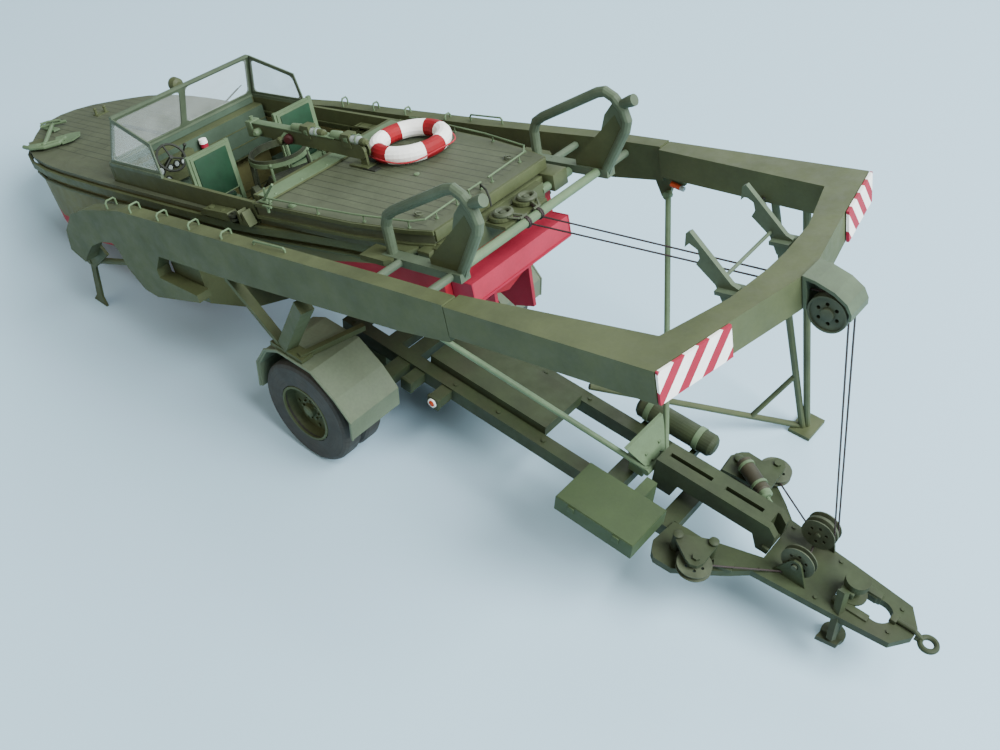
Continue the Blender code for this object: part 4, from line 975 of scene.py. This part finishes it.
# Chassis: bolts, towing rod, air cylinder with its caps and straps, reflector and jack brace.
def makeChassisDetail():
    values = {"cylinder": (12.4, -7.3, 0), "cylinderLevel": 32.5, "postTop": 29.9, "sheavePin": (-42.0, 25.4),
              "bolt": 0.65, "drawbar": (23.1, 23.7), "plank": (22.4, 23.0)}
    aim, level = values["cylinder"], values["cylinderLevel"]
    bm = bmesh.new()
    for along in (-167.4, -154.4):
        slab(bm, (along - 0.2, -24.0, 17.2), (along + 5.0, -22.4, 22.2), 0.2)
    for x, y in ((-51.0, -21.8), (-40.9, -16.8), (-52.6, 18.4), (-40.0, 14.4)):
        turned(bm, [(0, 1.7), (0.6, 1.7), (1.0, 1.0)], (x, y, values["postTop"]), (0, 0, 1), 16)
    x, y = values["sheavePin"]
    for side in (-1, 1):
        turned(bm, [(0, 1.3), (1.1, 1.3)], (x, side * y, 29.3), (0, 0, 1), 6)
        turned(bm, [(0, 2.0), (0.5, 2.0)], (x, side * y, 23.2), (0, 0, 1), 16)
    plate(bm, [(-39.0, -17.8), (-33.0, -14.4), (-32.4, -18.4), (-37.8, -20.4)], "z", 23.1, 24.4)
    slab(bm, (-29.6, -5.8, 25.4), (-27.2, 5.8, 27.0), 0.2)
    low, high = values["plank"]
    for along in (-201, -150, -130, -110):
        for across in (-13.6, 13.6):
            rod(bm, (along, across, low), (along, across, high), 0.8, 10)
    low, high = values["drawbar"]
    for x, y in ((0.5, 7.0), (14.5, 5.2), (-8, 8.8), (-26, 10.8)):
        for side in (1, -1):
            rod(bm, (x, side * y, low), (x, side * y, high), values["bolt"], 8)
    for low, high in ((-6.6, -3.9), (3.9, 6.6)):
        slab(bm, (-3.9, low, 20.4), (7.9, high, 24.0), 0.3)
    finishPiece("chassis_bolts", bm, chassisPlace, shadedWornOlive)
    bm = bmesh.new()
    slab(bm, (12.8, -1.7, 23.1), (15.0, 1.7, 24.9), 0.3)
    bentRod(bm, [(13.6, 0, 24.1), (20.6, 0, 24.1), (23.4, 0, 22.5)], 0.8, 10)
    finishPiece("towing_eye_rod", bm, chassisPlace, shadedWornOlive)
    bm = bmesh.new()
    turned(bm, [(0, 2.0), (0.6, 2.65), (13.4, 2.65), (14.0, 2.2)], (-50.6, 16.2, level), aim, 26)
    finishPiece("brown_air_cylinder", bm, chassisPlace, brown)
    bm = bmesh.new()
    turned(bm, [(0, 2.3), (1.6, 2.3), (2.2, 1.5)], (-38.6, 9.1, level), aim, 22)
    rod(bm, (-36.6, 7.9, level), (-34.6, 6.7, level), 0.7, 10)
    for at in ((-48.4, 14.9), (-41.2, 10.7)):
        spun(bm, [(-0.5, 2.6), (-0.5, 2.95), (0.5, 2.95), (0.5, 2.6)], (*at, level), aim, 26)
    for along in (-89, -69):
        spun(bm, [(-1, 4.0), (-1, 4.4), (1, 4.4), (1, 4.0)], (along, 20.8, 26), (1, 0, 0), 28)
    finishPiece("cylinder_caps_and_tank_straps", bm, chassisPlace, sage)
    bm = bmesh.new()
    turned(bm, [(0, 1.25), (0.5, 1.1), (0.8, 0.6)], (-152.0, -24.2, 19.9), (0, -1, 0), 20)
    finishPiece("side_reflector", bm, chassisPlace, amber)
    bm = bmesh.new()
    spun(bm, [(0, 1.2), (0, 1.85), (0.5, 1.75), (0.5, 1.2)], (-152.0, -24.0, 19.9), (0, -1, 0), 24)
    finishPiece("side_reflector_rim", bm, chassisPlace, white)
    bm = bmesh.new()
    rod(bm, (-1.8, -5.6, 29.6), (1.6, -12.2, 14.4), 1.9, 4, 1.5)
    plate(bm, [(-2.6, -13.6), (4.0, -12.4), (4.4, -9.4), (-2.2, -10.4)], "z", 11.6, 13.4)
    slab(bm, (-3.2, -4.6, 26.0), (1.2, -1.0, 28.6), 0.3)
    finishPiece("jack_brace", bm, chassisPlace, shadedWornOlive)
    print("chassis detail made")


makeChassisDetail()


# Marker lamp under the far frame arm, and the lid of the toolbox.
def makeLampAndLid():
    values = {"lamp": 0.95, "cap": 0.85, "lid": (36.2, 36.55), "catch": 1.2}
    bm = bmesh.new()
    slab(bm, (32.4, 50.9, -15.3), (38.4, 52.6, -12.4), 0.2)
    finishPiece("far_arm_lamp_bracket", bm, boatPlace, olive)
    bm = bmesh.new()
    rod(bm, (33.6, 50.5, -14.9), (37.2, 50.3, -15.7), values["lamp"], 16)
    finishPiece("far_arm_marker_lamp", bm, boatPlace, amber)
    bm = bmesh.new()
    rod(bm, (37.1, 50.3, -15.68), (38.6, 50.2, -16.0), values["cap"], 16)
    finishPiece("far_arm_lamp_cap", bm, boatPlace, lens)
    bm = bmesh.new()
    lid = [(-86.0, -39.6), (-57.1, -39.6), (-57.1, -21.3), (-86.0, -21.3)]
    plate(bm, lid, "z", *values["lid"])
    for along in (-80, -63):
        slab(bm, (along - values["catch"], -40.3, 33.6), (along + values["catch"], -39.7, 36.0), 0.1)
    finishPiece("toolbox_lid_and_catches", bm, chassisPlace, boxGreen)
    print("lamp and lid made")


makeLampAndLid()


# Camera, floor and light.
def makeCamera():
    values = {"sensor": 36.0, "lens": 39.42, "clip": 0.01, "at": (0.23275, -0.24060, 0.30098),
              "axes": ((0.7715, 0.63614, 0.01009), (-0.43852, 0.5202, 0.73287), (0.46096, -0.56983, 0.6803))}
    data = bpy.data.cameras.new("camera")
    data.sensor_width = values["sensor"]
    data.lens = values["lens"]
    data.clip_start = values["clip"]
    camera = bpy.data.objects.new("camera", data)
    scene.collection.objects.link(camera)
    turn = Matrix(values["axes"]).transposed()
    camera.matrix_world = Matrix.Translation(values["at"]) @ turn.to_4x4()
    scene.camera = camera


def makeFloor():
    values = {"size": 6.0, "tint": (0.41, 0.59, 0.72), "rough": 0.9}
    bm = bmesh.new()
    bmesh.ops.create_grid(bm, x_segments=1, y_segments=1, size=values["size"])
    mesh = bpy.data.meshes.new("floor")
    bm.to_mesh(mesh)
    bm.free()
    floor = bpy.data.objects.new("floor", mesh)
    scene.collection.objects.link(floor)
    mat, shader = startMaterial("palePaper")[::2]
    shader["Base Color"].default_value = colour(values["tint"])
    shader["Roughness"].default_value = values["rough"]
    floor.data.materials.append(mat)


def makeLight(name, place, target, power, size, tint):
    data = bpy.data.lights.new(name, "AREA")
    data.energy = power
    data.size = size
    data.color = tint
    light = bpy.data.objects.new(name, data)
    scene.collection.objects.link(light)
    aim = Vector(target) - Vector(place)
    light.matrix_world = Matrix.Translation(place) @ aim.to_track_quat("-Z", "Y").to_matrix().to_4x4()


def makeSky():
    values = {"tint": (0.88, 0.95, 0.95), "strength": 0.30}
    world = bpy.data.worlds.new("sky")
    world.use_nodes = True
    background = world.node_tree.nodes["Background"].inputs
    background["Color"].default_value = colour(values["tint"])
    background["Strength"].default_value = values["strength"]
    scene.world = world


makeCamera()
makeFloor()
# Place, target, power in watts, size in metres and tint of each lamp.
lights = {
    "key": ((1.10, 0.12, 1.20), (0, 0, 0.05), 72.0, 1.1, (0.95, 1.0, 1.0)),
    "window": ((-0.5, 1.5, 0.9), (-0.4, 0.3, 0.0), 24.0, 1.2, (0.90, 0.98, 1.0)),
    "fill": ((-0.5, -1.2, 0.9), (0, 0, 0.05), 8.5, 1.6, (1.0, 0.88, 0.66)),
}
for name, given in lights.items():
    makeLight(name, *given)
makeSky()
print("camera and lights made")
